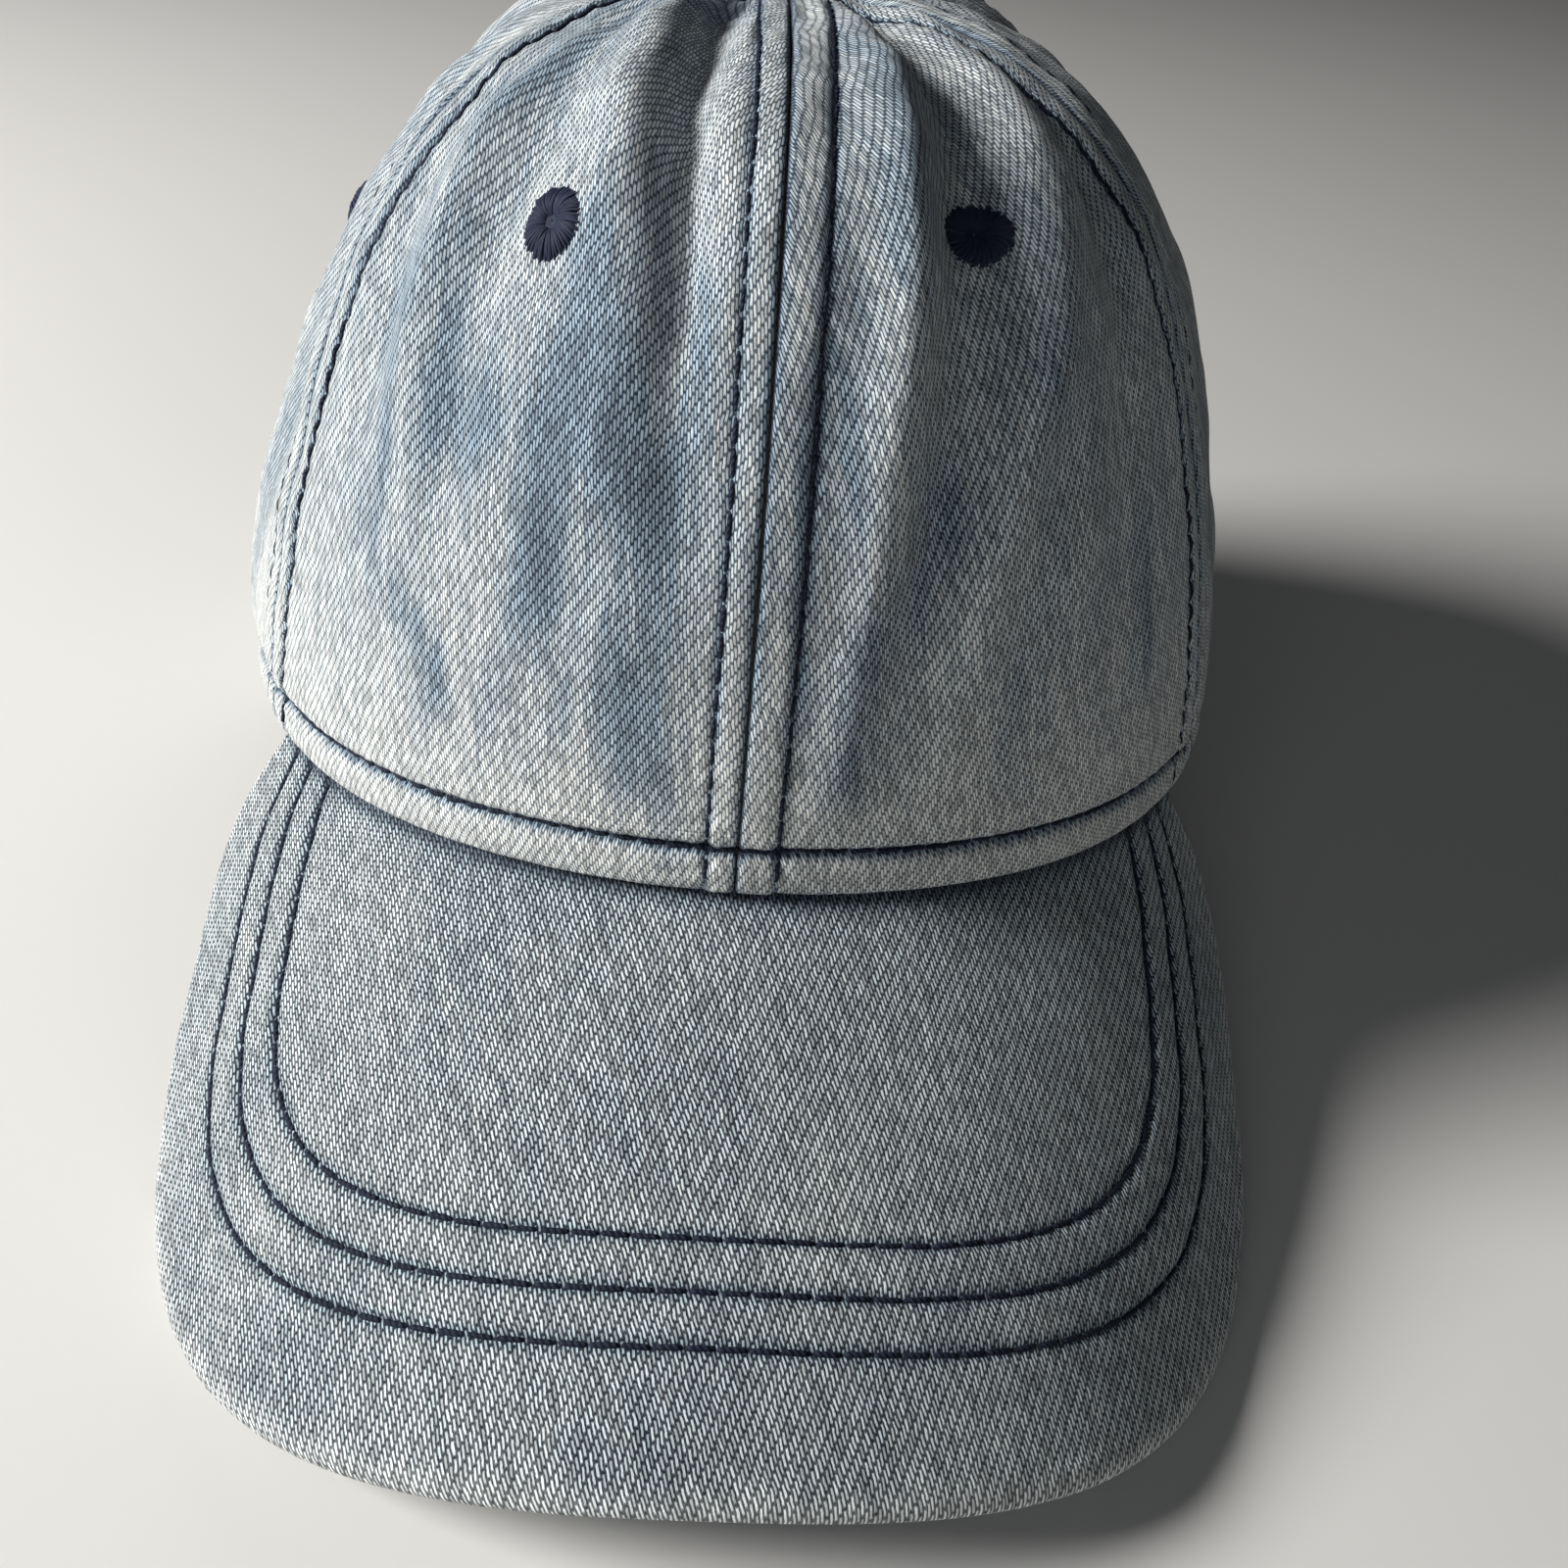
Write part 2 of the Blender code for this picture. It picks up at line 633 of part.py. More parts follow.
def buckle_lever(metal):
    """The clamping lever: a hub on the pin, a cam towards the strap, and a plate to lift it by."""
    hub, half, arm, cam = 1.9 * MM, 0.5 * MM, 10.6 * MM, 0.2 * MM
    low, high = BUCKLE_Z[0] + 1.8 * MM, BUCKLE_Z[1] - 1.8 * MM
    outline = []
    for i in range(17):
        angle = math.radians(160 - 20 * i)
        reach = hub + cam * max(0.0, -math.sin(angle)) ** 2
        outline.append((reach * math.cos(angle), reach * math.sin(angle)))
    along = (0.35, 0.7, 0.9, 1.0)
    fall = [-((arm * share) ** 2) / (2 * PIN_RADIUS) for share in along]
    lift = (0.0, 0.0, 0.15 * MM, 0.5 * MM)
    middle = [(-arm * share, drop + rise) for share, drop, rise in zip(along, fall, lift)]
    outline += [(x, y - half) for x, y in middle] + [(x, y + half) for x, y in reversed(middle)]
    place = upright(PIN_RADIUS, PIN_ANGLE)
    lever = prism("buckle_lever", outline, low, high, metal)
    lever.matrix_world = place
    boolean(lever, "DIFFERENCE", rod("lever_bore", BORE, low - hub, high + hub, 16, metal, place))
    return lever


# Assembly


def build_crown(denim, navy, cotton, metal):
    edges = {
        "front_left": (0.0, FRONT_SEAM),
        "side_left": (FRONT_SEAM, BACK_SEAM),
        "back_left": (BACK_SEAM, math.pi),
        "front_right": (-FRONT_SEAM, 0.0),
        "side_right": (-BACK_SEAM, -FRONT_SEAM),
        "back_right": (-math.pi, -BACK_SEAM),
    }
    panels = {name: panel(f"{name}_panel", *span, denim) for name, span in edges.items()}
    cutter = opening_cutter(denim)
    for name in ("back_left", "back_right"):
        boolean(panels[name], "DIFFERENCE", cutter)
    for place, angle, level in EYELETS:
        for side, sign in (("left", 1), ("right", -1)):
            eyelet(f"eyelet_{place}_{side}", sign * angle, level, panels[f"{place}_{side}"], navy)
    seams = {
        "front": 0.0, "left_front": FRONT_SEAM, "right_front": -FRONT_SEAM,
        "left_back": BACK_SEAM, "right_back": -BACK_SEAM, "back": math.pi,
    }
    for name, phi in seams.items():
        above_rim = (RIM_STITCH + 2 * THREAD + WIDE_GAP) / band_height(phi) - 1.0
        above_opening = level_at(math.pi, OPENING_HEIGHT + BINDING + 2.5 * MM)
        foot, first = (above_opening, above_opening) if name == "back" else (-0.8, above_rim)
        seam_tape(f"seam_tape_{name}", phi, [foot] + [l for l in STATIONS if foot < l < TAPE_TOP], cotton)
        rows = [first] + [l for l in STATIONS if first + 0.02 < l < STITCH_TOP]
        for side, sign in (("left", 1), ("right", -1)):
            topstitch(f"topstitch_{name}_seam_{side}", phi, sign, rows, navy)
    opening_binding(denim)
    sweatband(cotton)
    rim_stitch(navy)
    button(denim, metal)


def build_brim(denim, navy, plastic):
    board_top = COVER + GAP
    board_bottom = board_top + BOARD
    middle = board_top + BOARD / 2
    margins, half_gap = (COVER_MARGIN, 0.0), SEAM_GAP / 2
    under_cover = (BRIM_DEPTH - COVER, BRIM_DEPTH)
    brim_sheet("brim_top_cover", (0.0, COVER), margins, 0.0, denim, middle - half_gap)
    brim_sheet("brim_board", (board_top, board_bottom), (BOARD_MARGIN,), BOARD_ENDS, plastic)
    brim_sheet("brim_under_cover", under_cover, margins, 0.0, denim, middle + half_gap)
    for name, side, front in zip(("inner", "middle", "outer"), STITCH_SIDES, STITCH_FRONTS):
        brim_stitch(f"brim_stitch_row_{name}", side, front, navy)


def main():
    for old in list(bpy.data.objects):
        bpy.data.objects.remove(old, do_unlink=True)
    denim = material("denim", (0.30, 0.38, 0.47), 0.9)
    navy = material("navy_thread", (0.02, 0.03, 0.07), 0.7)
    cotton = material("cotton_tape", (0.62, 0.60, 0.55), 0.9)
    plastic = material("board_plastic", (0.80, 0.80, 0.78), 0.5)
    brass = material("antique_brass", (0.36, 0.28, 0.16), 0.35, 1.0)
    build_crown(denim, navy, cotton, brass)
    build_brim(denim, navy, plastic)
    back_strap(denim)
    buckle_tab(denim)
    buckle_frame(brass)
    buckle_pin(brass)
    buckle_lever(brass)
    for made in bpy.data.objects:
        made.location.y += ORIGIN_SHIFT


main()
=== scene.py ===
"""Looks of a washed-denim baseball cap: sewn cloth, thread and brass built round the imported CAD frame.

Metres, +Z up, the brim points along -Y and the wearer's left is +X. The surfaces are worked out round the
middle of the crown, as in the CAD part, and moved by ORIGIN_SHIFT when a piece is made. Cloth coordinates
are in millimetres. Every piece replaces the CAD node of the same part and rides on its body.
"""

import math

import bpy
import numpy as np
from mathutils import Matrix, Vector


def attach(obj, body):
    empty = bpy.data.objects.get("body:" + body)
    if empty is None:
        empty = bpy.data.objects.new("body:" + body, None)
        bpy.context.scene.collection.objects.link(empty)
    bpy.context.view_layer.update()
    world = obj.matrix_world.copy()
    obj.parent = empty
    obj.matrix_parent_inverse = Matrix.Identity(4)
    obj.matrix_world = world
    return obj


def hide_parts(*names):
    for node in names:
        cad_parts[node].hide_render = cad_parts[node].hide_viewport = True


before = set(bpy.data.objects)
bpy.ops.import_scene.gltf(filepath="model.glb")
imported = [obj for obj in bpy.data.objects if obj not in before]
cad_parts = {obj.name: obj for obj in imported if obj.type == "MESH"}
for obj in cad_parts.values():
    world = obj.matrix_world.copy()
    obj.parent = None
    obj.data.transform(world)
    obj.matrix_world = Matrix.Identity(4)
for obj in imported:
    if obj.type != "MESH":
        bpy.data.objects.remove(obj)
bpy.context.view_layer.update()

MM = 0.001

# Crown, as in the CAD part
HALF_LENGTH = 98.0 * MM
HALF_WIDTH = 83.8 * MM
CROWN_TOP = 141.5 * MM
TOP_SHIFT = -5.8 * MM
BAND = 10.5 * MM
BACK_BAND = 30.0 * MM
BAND_CHANGE = (math.radians(90), math.radians(130))
SHOULDER_FRONT = 0.40
SHOULDER_SIDE = 0.60
SHOULDER_RISE = 1.675
FRONT_SEAM = math.radians(57)
BACK_SEAM = math.radians(118)
RIM_FLAT = math.radians(117)
BACK_RADIUS = 75.0 * MM
BACK_CENTRE_Y = HALF_LENGTH - BACK_RADIUS
BACK_BLEND = (math.radians(122), math.radians(134))
CLOTH = 1.2 * MM
GAP = 0.4 * MM
RIM_STITCH = 7.6                 # mm from the rim to the stitches above it
SWEATBAND_INSET = 4.5 * MM
SWEATBAND_HEIGHT = 32.0 * MM
SWEATBAND_STITCH_ROW = 35        # the mesh row, of 40, that the sweatband's stitches follow
OPENING_HALF_WIDTH = 42.0 * MM
OPENING_HEIGHT = 52.0 * MM
BINDING = 3.0 * MM
TAPE_INSET = 1.8 * MM
TAPE_WIDTH = 12.0                # mm

# Brim, as in the CAD part
ARCH_RADIUS = 103.3 * MM
BRIM_SLOPE = math.radians(24.8)
BRIM_HALF_WIDTH = 91.7 * MM
BRIM_LENGTH = 72.1 * MM
BRIM_TAIL = 49.9 * MM
BRIM_WIDEST = -1.3 * MM
BRIM_ROUNDNESS = 2.7
BRIM_TOP = 49.06 * MM
BRIM_DEPTH = 4.5 * MM
BRIM_TUCK = 3.9 * MM
STITCH_ROWS = ((65.2, 42.9), (71.5, 48.9), (77.7, 54.9))     # mm, half width and front of each row
STITCH_ROUNDNESS = 3.0

# Strap and buckle, as in the CAD part
STRAP_Z = (10.0 * MM, 26.0 * MM)
STRAP_OUTER = BACK_RADIUS - CLOTH - 0.5 * MM
STRAP_THICK = 1.4 * MM
STRAP_ENDS = (math.radians(-50), math.radians(52))
PIN_ANGLE = math.radians(-13)
BAR_ANGLE = PIN_ANGLE - 13.6 * MM / BACK_RADIUS
BAR_RADIUS = 75.5 * MM
TAB_ENDS = (math.radians(-53), math.radians(-29))
STRIP_SIDES = 44                 # points round a strip's outline

ORIGIN_SHIFT = 32.112 * MM

# The weave: a three-end twill, its warp skewed a little from the upright
CROWN_PITCH = (0.41, 0.57)       # mm between neighbouring warp threads, and between weft threads
BRIM_PITCH = (0.50, 0.59)        # the same in the brim, where the photo's cloth is more open
CROWN_FLOAT = (0.10, 0.50)       # where a warp float's rounded edge begins and ends, 0 at its side, 1 on its middle
BRIM_FLOAT = (0.22, 0.68)
REPEAT = 3.0                     # weft threads to one repeat
CROWN_SKEW = (0.0, 0.185)        # turn of the weave in radians, and sideways lean of the warp
BRIM_SKEW = (0.22, 0.09)
STITCH_PITCH = 3.6               # mm
THREAD = 0.36 * MM               # radius of the topstitching thread
SEAM_THREAD = 0.28 * MM          # and of the finer thread beside the crown's seams
FINE_THREAD = 0.24 * MM          # of the thread in the strap's tab
FINE_PITCH = 3.4                 # mm, of the tab's and the binding's stitches
TAB_ROW = 2.2                    # mm from the tab's edge to its stitches, and to the strap's pressed line

# Seams: angle, and the distances in mm of the stitch rows on their right-hand and left-hand sides
SEAMS = {
    "front": (0.0, 3.9, 5.2),
    "left_front": (FRONT_SEAM, 4.6, 4.6),
    "right_front": (-FRONT_SEAM, 4.6, 4.6),
    "left_back": (BACK_SEAM, 4.6, 4.6),
    "right_back": (-BACK_SEAM, 4.6, 4.6),
    "back": (math.pi, 4.6, 4.6),
}
TOP_LEVEL = 0.972
STITCH_TOP = 0.93


# Surfaces


def smooth(value, low, high):
    share = np.clip((value - low) / (high - low), 0.0, 1.0)
    return share * share * (3.0 - 2.0 * share)


def bell(value, width):
    return np.exp(-((value / width) ** 2))


def brim_xyz(u, v, depth=0.0):
    """Points of the brim: u round the arch, v forward of the crown's front, depth under the top face."""
    angle = u / ARCH_RADIUS
    radius = ARCH_RADIUS - depth
    drop = radius * np.cos(angle) - ARCH_RADIUS
    y = -HALF_LENGTH - v * math.cos(BRIM_SLOPE) - drop * math.sin(BRIM_SLOPE)
    z = BRIM_TOP - v * math.sin(BRIM_SLOPE) + drop * math.cos(BRIM_SLOPE)
    return np.stack([radius * np.sin(angle), y, z], -1)


def brim_uv(x, y, depth=0.0):
    angle = np.arcsin(x / (ARCH_RADIUS - depth))
    drop = (ARCH_RADIUS - depth) * np.cos(angle) - ARCH_RADIUS
    return ARCH_RADIUS * angle, (-HALF_LENGTH - y - drop * math.sin(BRIM_SLOPE)) / math.cos(BRIM_SLOPE)


def outline_uv(angle, half_width, length, roundness):
    """A superellipse on the brim: angle 90 degrees is the tip, 0 and 180 the widest places."""
    power = 2.0 / roundness
    across, along = np.cos(angle), np.sin(angle)
    reach = np.where(along > 0, length - BRIM_WIDEST, BRIM_TAIL)
    u = half_width * np.copysign(np.abs(across) ** power, across)
    v = BRIM_WIDEST + reach * np.copysign(np.abs(along) ** power, along)
    return u, v


def plan(phi, inset=0.0):
    x = (HALF_WIDTH - inset) * np.sin(phi)
    y = -(HALF_LENGTH - inset) * np.cos(phi)
    share = smooth(np.abs(phi), *BACK_BLEND)
    round_y = BACK_CENTRE_Y + np.sqrt(np.maximum((BACK_RADIUS - inset) ** 2 - x * x, 0.0))
    return x, y * (1 - share) + round_y * share


def rim_height(phi):
    x, y = plan(np.minimum(np.abs(phi), FRONT_SEAM))
    u, v = brim_uv(x, y)
    return (brim_xyz(u, v)[..., 2] + GAP) * (1 - smooth(np.abs(phi), FRONT_SEAM, RIM_FLAT))


def band_height(phi):
    return BAND + (BACK_BAND - BAND) * smooth(np.abs(phi), *BAND_CHANGE)


def crown_xyz(phi, level, inset=0.0):
    """Points of the crown: level -1 is the rim, 0 the top of the upright band, 1 the top of the crown."""
    x, y = plan(phi, inset)
    band_top = rim_height(phi) + band_height(phi)
    shoulder = SHOULDER_FRONT + (SHOULDER_SIDE - SHOULDER_FRONT) * np.sin(phi) ** 2
    share = np.maximum(np.cos(np.maximum(level, 0.0) * math.pi / 2), 1e-6)
    rise = np.maximum(1.0 - share ** (2.0 / shoulder), 0.0) ** (SHOULDER_RISE / 2.0)
    z = band_top + (CROWN_TOP - inset - band_top) * rise + np.minimum(level, 0.0) * band_height(phi)
    return np.stack([x * share, y * share + TOP_SHIFT * rise, z], -1)


def unit(vectors):
    return vectors / np.maximum(np.linalg.norm(vectors, axis=-1, keepdims=True), 1e-12)


def crown_normal(phi, level):
    small = 2e-3
    along = crown_xyz(phi + small, level) - crown_xyz(phi - small, level)
    up = crown_xyz(phi, level + small) - crown_xyz(phi, level - small)
    return unit(np.cross(along, up))


def wrapped(angle):
    return (angle + math.pi) % (2 * math.pi) - math.pi


def ring_radius(level):
    """About how far the crown at this level is from its top, in mm."""
    return HALF_WIDTH / MM * np.cos(np.maximum(level, 0.0) * math.pi / 2)


def seam_pace(angle):
    """How fast the crown's edge is walked at an angle, as a share of its half width."""
    return math.hypot(HALF_WIDTH * math.cos(angle), HALF_LENGTH * math.sin(angle)) / HALF_WIDTH


def seam_distance(phi, level, angle):
    """Signed distance in mm from a seam, measured round the crown."""
    return wrapped(phi - angle) * seam_pace(angle) * ring_radius(level)


def beside_seam(angle, level, distance):
    """The crown angle at a signed distance in mm from a seam."""
    return angle + distance / (seam_pace(angle) * ring_radius(level))


def row_reach(distance, level):
    """Stitch rows draw in towards their seam where the panels narrow under the button."""
    return np.minimum(distance, 0.40 * ring_radius(level))


def height_above_rim(phi, level):
    """mm above the rim, exact within the upright band and only a growing measure above it."""
    return (level + 1.0) * band_height(phi) / MM


def polyline_length(points):
    return np.concatenate([[0.0], np.cumsum(np.linalg.norm(np.diff(points, axis=0), axis=1))])


def meridian(angle):
    """Levels up the crown at one angle, and the mm walked from the rim to each."""
    walk = np.concatenate([np.linspace(-1, 0, 60), np.linspace(0, TOP_LEVEL, 500)[1:]])
    return walk, polyline_length(crown_xyz(np.full_like(walk, angle), walk)) / MM


MERIDIANS = {name: meridian(seam[0]) for name, seam in SEAMS.items()}


# The shape that sewing and wear give the cloth, in mm outwards from the plain crown

# Folds of the front: crest line as (levels, mm from the front seam), half width, (levels, heights in mm)
FOLDS = (
    ((0.30, 0.40, 0.50, 0.61, 0.85, 0.97), (-10.6, -11.0, -11.4, -11.9, -9.0, -3.0), 2.9,
     (0.24, 0.36, 0.46, 0.60, 0.88, 0.97), (0.0, -1.2, -2.7, -3.2, -2.2, 0.0)),
    ((0.20, 0.46, 0.60, 0.85, 0.97), (-17.5, -18.6, -19.0, -14.0, -5.0), 4.6,
     (0.12, 0.40, 0.55, 0.80, 0.97), (0.0, 0.9, 1.9, 1.6, 0.0)),
    ((0.30, 0.40, 0.53, 0.65, 0.90, 0.97), (-46.0, -46.6, -39.3, -28.6, -15.0, -6.0), 3.6,
     (0.22, 0.36, 0.50, 0.70, 0.97), (0.0, 1.0, 1.7, 1.1, 0.0)),
    ((0.30, 0.46, 0.55, 0.70, 0.97), (-41.0, -35.3, -31.0, -25.0, -6.0), 4.2,
     (0.18, 0.33, 0.50, 0.70, 0.97), (0.0, -1.0, -1.3, -1.0, 0.0)),
    ((0.35, 0.45, 0.60), (-56.0, -54.0, -45.0), 4.0,
     (0.28, 0.40, 0.52, 0.65), (0.0, -1.2, -1.0, 0.0)),
    ((0.05, 0.12, 0.19, 0.26, 0.35, 0.43, 0.52, 0.70, 0.97), (11.0, 12.2, 12.6, 14.4, 14.6, 15.2, 14.0, 11.5, 4.0), 3.5,
     (0.02, 0.15, 0.35, 0.55, 0.85, 0.97), (0.0, 0.9, 1.6, 2.1, 1.5, 0.0)),
    ((0.10, 0.22, 0.32, 0.45, 0.64, 0.97), (19.0, 20.5, 23.0, 23.5, 21.0, 6.0), 5.0,
     (0.06, 0.18, 0.35, 0.50, 0.85, 0.97), (0.0, -1.2, -2.6, -3.0, -2.0, 0.0)),
    ((0.12, 0.26, 0.33, 0.42, 0.54, 0.80, 0.97), (24.0, 27.5, 31.0, 36.0, 36.0, 22.0, 6.0), 4.4,
     (0.08, 0.22, 0.42, 0.60, 0.97), (0.0, 0.9, 1.5, 1.2, 0.0)),
    ((0.20, 0.45, 0.60, 0.97), (56.0, 50.0, 42.0, 8.0), 5.0,
     (0.10, 0.35, 0.55, 0.97), (0.0, -1.1, -1.5, 0.0)),
)

# Softer folds of the sides and the back: crown angle in degrees, half width in mm, height in mm, middle level
SIDE_FOLDS = (
    (72, 7, 1.3, 0.55), (84, 6, -1.5, 0.62), (99, 8, 1.5, 0.50), (109, 5, -1.2, 0.68), (128, 7, 1.4, 0.55),
    (140, 6, -1.5, 0.66), (151, 7, 1.1, 0.72), (165, 5, -1.3, 0.74),
    (-72, 10, -4.6, 0.45), (-84, 17, 4.2, 0.16), (-96, 7, -1.4, 0.64), (-107, 6, 1.3, 0.55), (-130, 8, 1.3, 0.60),
    (-143, 6, -1.5, 0.64), (-156, 7, 1.3, 0.70), (-167, 5, -1.1, 0.76),
)


def waves(a, b, seed, count=9, low=0.02, high=0.09):
    """A smooth, fixed random field over two coordinates in mm, about -1 to 1."""
    draw = np.random.default_rng(seed)
    total = np.zeros(np.broadcast(a, b).shape)
    for _ in range(count):
        turn, pace, phase = draw.uniform(0, 2 * math.pi), draw.uniform(low, high), draw.uniform(0, 2 * math.pi)
        total = total + np.sin(2 * math.pi * pace * (a * math.cos(turn) + b * math.sin(turn)) + phase)
    return total / math.sqrt(count)


def fold_relief(phi, level):
    from_front = phi * ring_radius(level)
    total = np.zeros(np.broadcast(phi, level).shape)
    for levels, places, width, at, heights in FOLDS:
        total = total + 1.3 * np.interp(level, at, heights) * bell(from_front - np.interp(level, levels, places), width)
    for degrees, width, height, middle in SIDE_FOLDS:
        distance = seam_distance(phi, level, math.radians(degrees))
        spread = 0.6 + 0.4 * ring_radius(level) / ring_radius(middle)
        total = total + height * bell(distance, width * spread) * bell(level - middle, 0.26) * smooth(level, -0.8, 0.1)
    around = phi * HALF_WIDTH / MM
    total = total + 0.28 * waves(around, level * 120, 5) * smooth(level, 0.0, 0.25)
    return total * (1.0 - smooth(level, 0.93, TOP_LEVEL))


def seam_relief(phi, level):
    """Raised seam allowances, the grooves of the seams and stitch rows, and the puckers beside the stitches."""
    total = np.zeros(np.broadcast(phi, level).shape)
    for name, (angle, right, left) in SEAMS.items():
        distance = seam_distance(phi, level, angle)
        row = row_reach(np.where(distance < 0, right, left), level)
        away = np.abs(distance)
        allowance = np.sqrt(np.clip(1.0 - (2.0 * away / row - 1.0) ** 2, 0.0, 1.0)) * (away < row)
        walked = np.interp(level, *MERIDIANS[name])
        ripple = np.cos(2 * math.pi * walked / STITCH_PITCH + 0.9 * (away - row))
        height = np.where(distance < 0, 0.30, 0.40) * (0.25 + 0.75 * smooth(height_above_rim(phi, level), 5.0, 9.0))
        raised = height * allowance + 0.12 * (away < row) - 0.40 * bell(away, 0.34)
        raised = raised - 0.32 * bell(away - row, 0.50) + 0.15 * ripple * bell(away - row - 0.4, 1.9)
        raised = raised * (away < 10)
        if name == "back":
            raised = raised * (level > level_of_height(math.pi, OPENING_HEIGHT + 2 * MM))
        total = total + raised
    return total


def rim_relief(phi, level):
    """The turned-up edge below the rim's stitches: a soft roll with a groove above it."""
    above = height_above_rim(phi, level)
    roll = np.clip(np.sin(math.pi * np.clip(above / RIM_STITCH, 0.0, 1.0)), 0.0, 1.0) ** 0.55
    ripple = np.cos(2 * math.pi * phi * HALF_LENGTH / MM / STITCH_PITCH + 0.7 * above)
    groove = -0.80 * bell(above - RIM_STITCH, 0.80) + 0.13 * ripple * bell(above - RIM_STITCH, 2.2)
    foot = -1.5 * np.clip(1.0 - above / 1.7, 0.0, 1.0) ** 2
    return 0.90 * roll + groove + foot + 0.30 * bell(above - RIM_STITCH - 2.2, 1.6)


def relief(phi, level):
    fine = 0.05 * waves(phi * HALF_WIDTH / MM, level * 130, 11, 14, 0.08, 0.30)
    return fold_relief(phi, level) + seam_relief(phi, level) + rim_relief(phi, level) + fine


def level_of_height(phi, height):
    """The level of the plain crown at one angle and height."""
    low, high = -1.0, 0.99
    for _ in range(40):
        middle = (low + high) / 2
        if crown_xyz(np.float64(phi), np.float64(middle))[2] < height:
            low = middle
        else:
            high = middle
    return (low + high) / 2


def skin(phi, level, offset=0.0):
    """The crown's cloth surface, or a surface offset from it in mm."""
    lift = (relief(phi, level) + offset) * MM
    return crown_xyz(phi, level) + crown_normal(phi, level) * lift[..., None]


def folded(phi, level, offset=0.0):
    """The crown's folds alone, without seams or rim, for what is sewn under or over the cloth."""
    lift = (fold_relief(phi, level) + offset) * MM
    return crown_xyz(phi, level) + crown_normal(phi, level) * lift[..., None]


# Colour of the washed cloth: 0 is worn pale, 1 is unfaded blue, and up to 2 is dark in a groove, partly unfaded dye and
# partly painted shade

# Blue streaks of the front: (crown angle in degrees, level) points, half width in mm, strength
STREAKS = (
    (((-43.2, 0.40), (-41.0, 0.315), (-38.8, 0.24), (-30.5, 0.176), (-29.5, 0.145)), 3.6, 0.75),
    (((-17.5, 0.46), (-14.5, 0.354)), 4.6, 0.65),
    (((-19.5, 0.34), (-19.0, 0.275), (-17.5, 0.165)), 4.4, 0.80),
    (((-9.8, 0.29), (-9.0, 0.248), (-9.8, 0.22), (-10.0, 0.161), (-10.0, 0.094)), 3.6, 0.85),
    (((-6.5, 0.09), (-6.0, -0.55)), 1.8, 0.55),
    (((-6.8, 0.39), (-5.5, 0.295)), 1.6, 0.60),
    (((3.5, 0.31), (4.5, 0.19)), 1.6, 0.60),
    (((18.0, 0.29), (12.8, 0.232), (9.5, 0.188), (9.2, 0.121)), 4.0, 0.80),
    (((14.3, 0.72), (12.2, 0.567), (10.5, 0.49)), 4.6, 0.50),
    (((7.3, 0.374), (7.5, 0.334)), 3.6, 0.50),
    (((-61.0, 0.56), (-60.0, 0.70)), 4.0, 0.45),
    (((-41.0, 0.90), (-38.0, 0.60), (-41.0, 0.433), (-30.2, 0.342)), 7.0, 0.62),
    (((30.8, 0.50), (27.5, 0.405)), 5.6, 0.40),
    (((43.0, 0.275), (43.2, 0.196)), 2.0, 0.55),
    (((-24.0, 0.13), (-23.5, 0.08)), 1.8, 0.45),
    (((25.0, 0.16), (24.0, 0.09)), 2.0, 0.40),
)


def streak_depth(phi, level):
    total = np.zeros(np.broadcast(phi, level).shape)
    degrees = np.degrees(phi)
    for points, width, strength in STREAKS:
        levels = np.array([point[1] for point in points])[::-1]
        angles = np.array([point[0] for point in points])[::-1]
        across = np.radians(degrees - np.interp(level, levels, angles)) * ring_radius(level)
        beyond = np.maximum(levels[0] - level, 0.0) + np.maximum(level - levels[-1], 0.0)
        total = total + 0.85 * strength * bell(across, 1.2 * width) * bell(beyond, 0.05)
    broken = 0.85 + 0.40 * waves(phi * HALF_WIDTH / MM, level * 40, 71, 16, 0.03, 0.16)
    return total * np.clip(broken, 0.25, 1.6)


def wash(phi, level):
    """Blueness and wear of the crown's cloth, with painted shade darkening its seam and stitch grooves and the rim's
    lower edge.
    """
    around = phi * HALF_WIDTH / MM
    behind = smooth(np.abs(phi), math.radians(52), math.radians(66))
    base = 0.10 + 0.36 * smooth(level, 0.03, 0.30) - 0.04 * smooth(level, 0.5, 0.9)
    drift = waves(around * 1.6, level * 22, 21, 12, 0.02, 0.10)
    blue = base + streak_depth(phi, level) * (1 - behind) + 0.07 * drift
    blue = blue + behind * 0.24 * np.clip(waves(around * 1.5, level * 26, 33, 12, 0.02, 0.07), -0.6, 1.6)
    wear = np.zeros_like(blue)
    for name, (angle, right, left) in SEAMS.items():
        distance = seam_distance(phi, level, angle)
        row = row_reach(np.where(distance < 0, right, left), level)
        away = np.abs(distance)
        # Seams and stitch rows darken past 1 here: unfaded dye kept in the grooves and painted shade in them
        for place, soft, sharp in ((away, 0.40, 1.20), (away - row, 0.26, 0.85)):
            blue = blue + soft * bell(place, 1.3) + sharp * bell(place, 0.36)
        wear = wear + 0.35 * bell(away - row * 0.52, 1.1) + 0.18 * bell(away - row - 2.0, 1.2)
    above = height_above_rim(phi, level)
    wear = wear + 0.55 * bell(above - 4.6, 2.6) + 0.25 * bell(above - RIM_STITCH - 2.4, 1.6)
    # The rim's stitch groove darkens: unfaded dye kept in it and painted shade
    blue = blue + 0.30 * bell(above - RIM_STITCH, 1.3) + 1.20 * bell(above - RIM_STITCH, 0.65)
    # Painted shadow along the roll's lower edge, where it meets the brim
    blue = blue + 1.30 * bell(above, 0.9)
    return np.clip(blue, 0.0, 2.0), np.clip(wear, 0.0, 1.0)


# Mesh making: every part is (points, quads, cloth coordinates, wash)


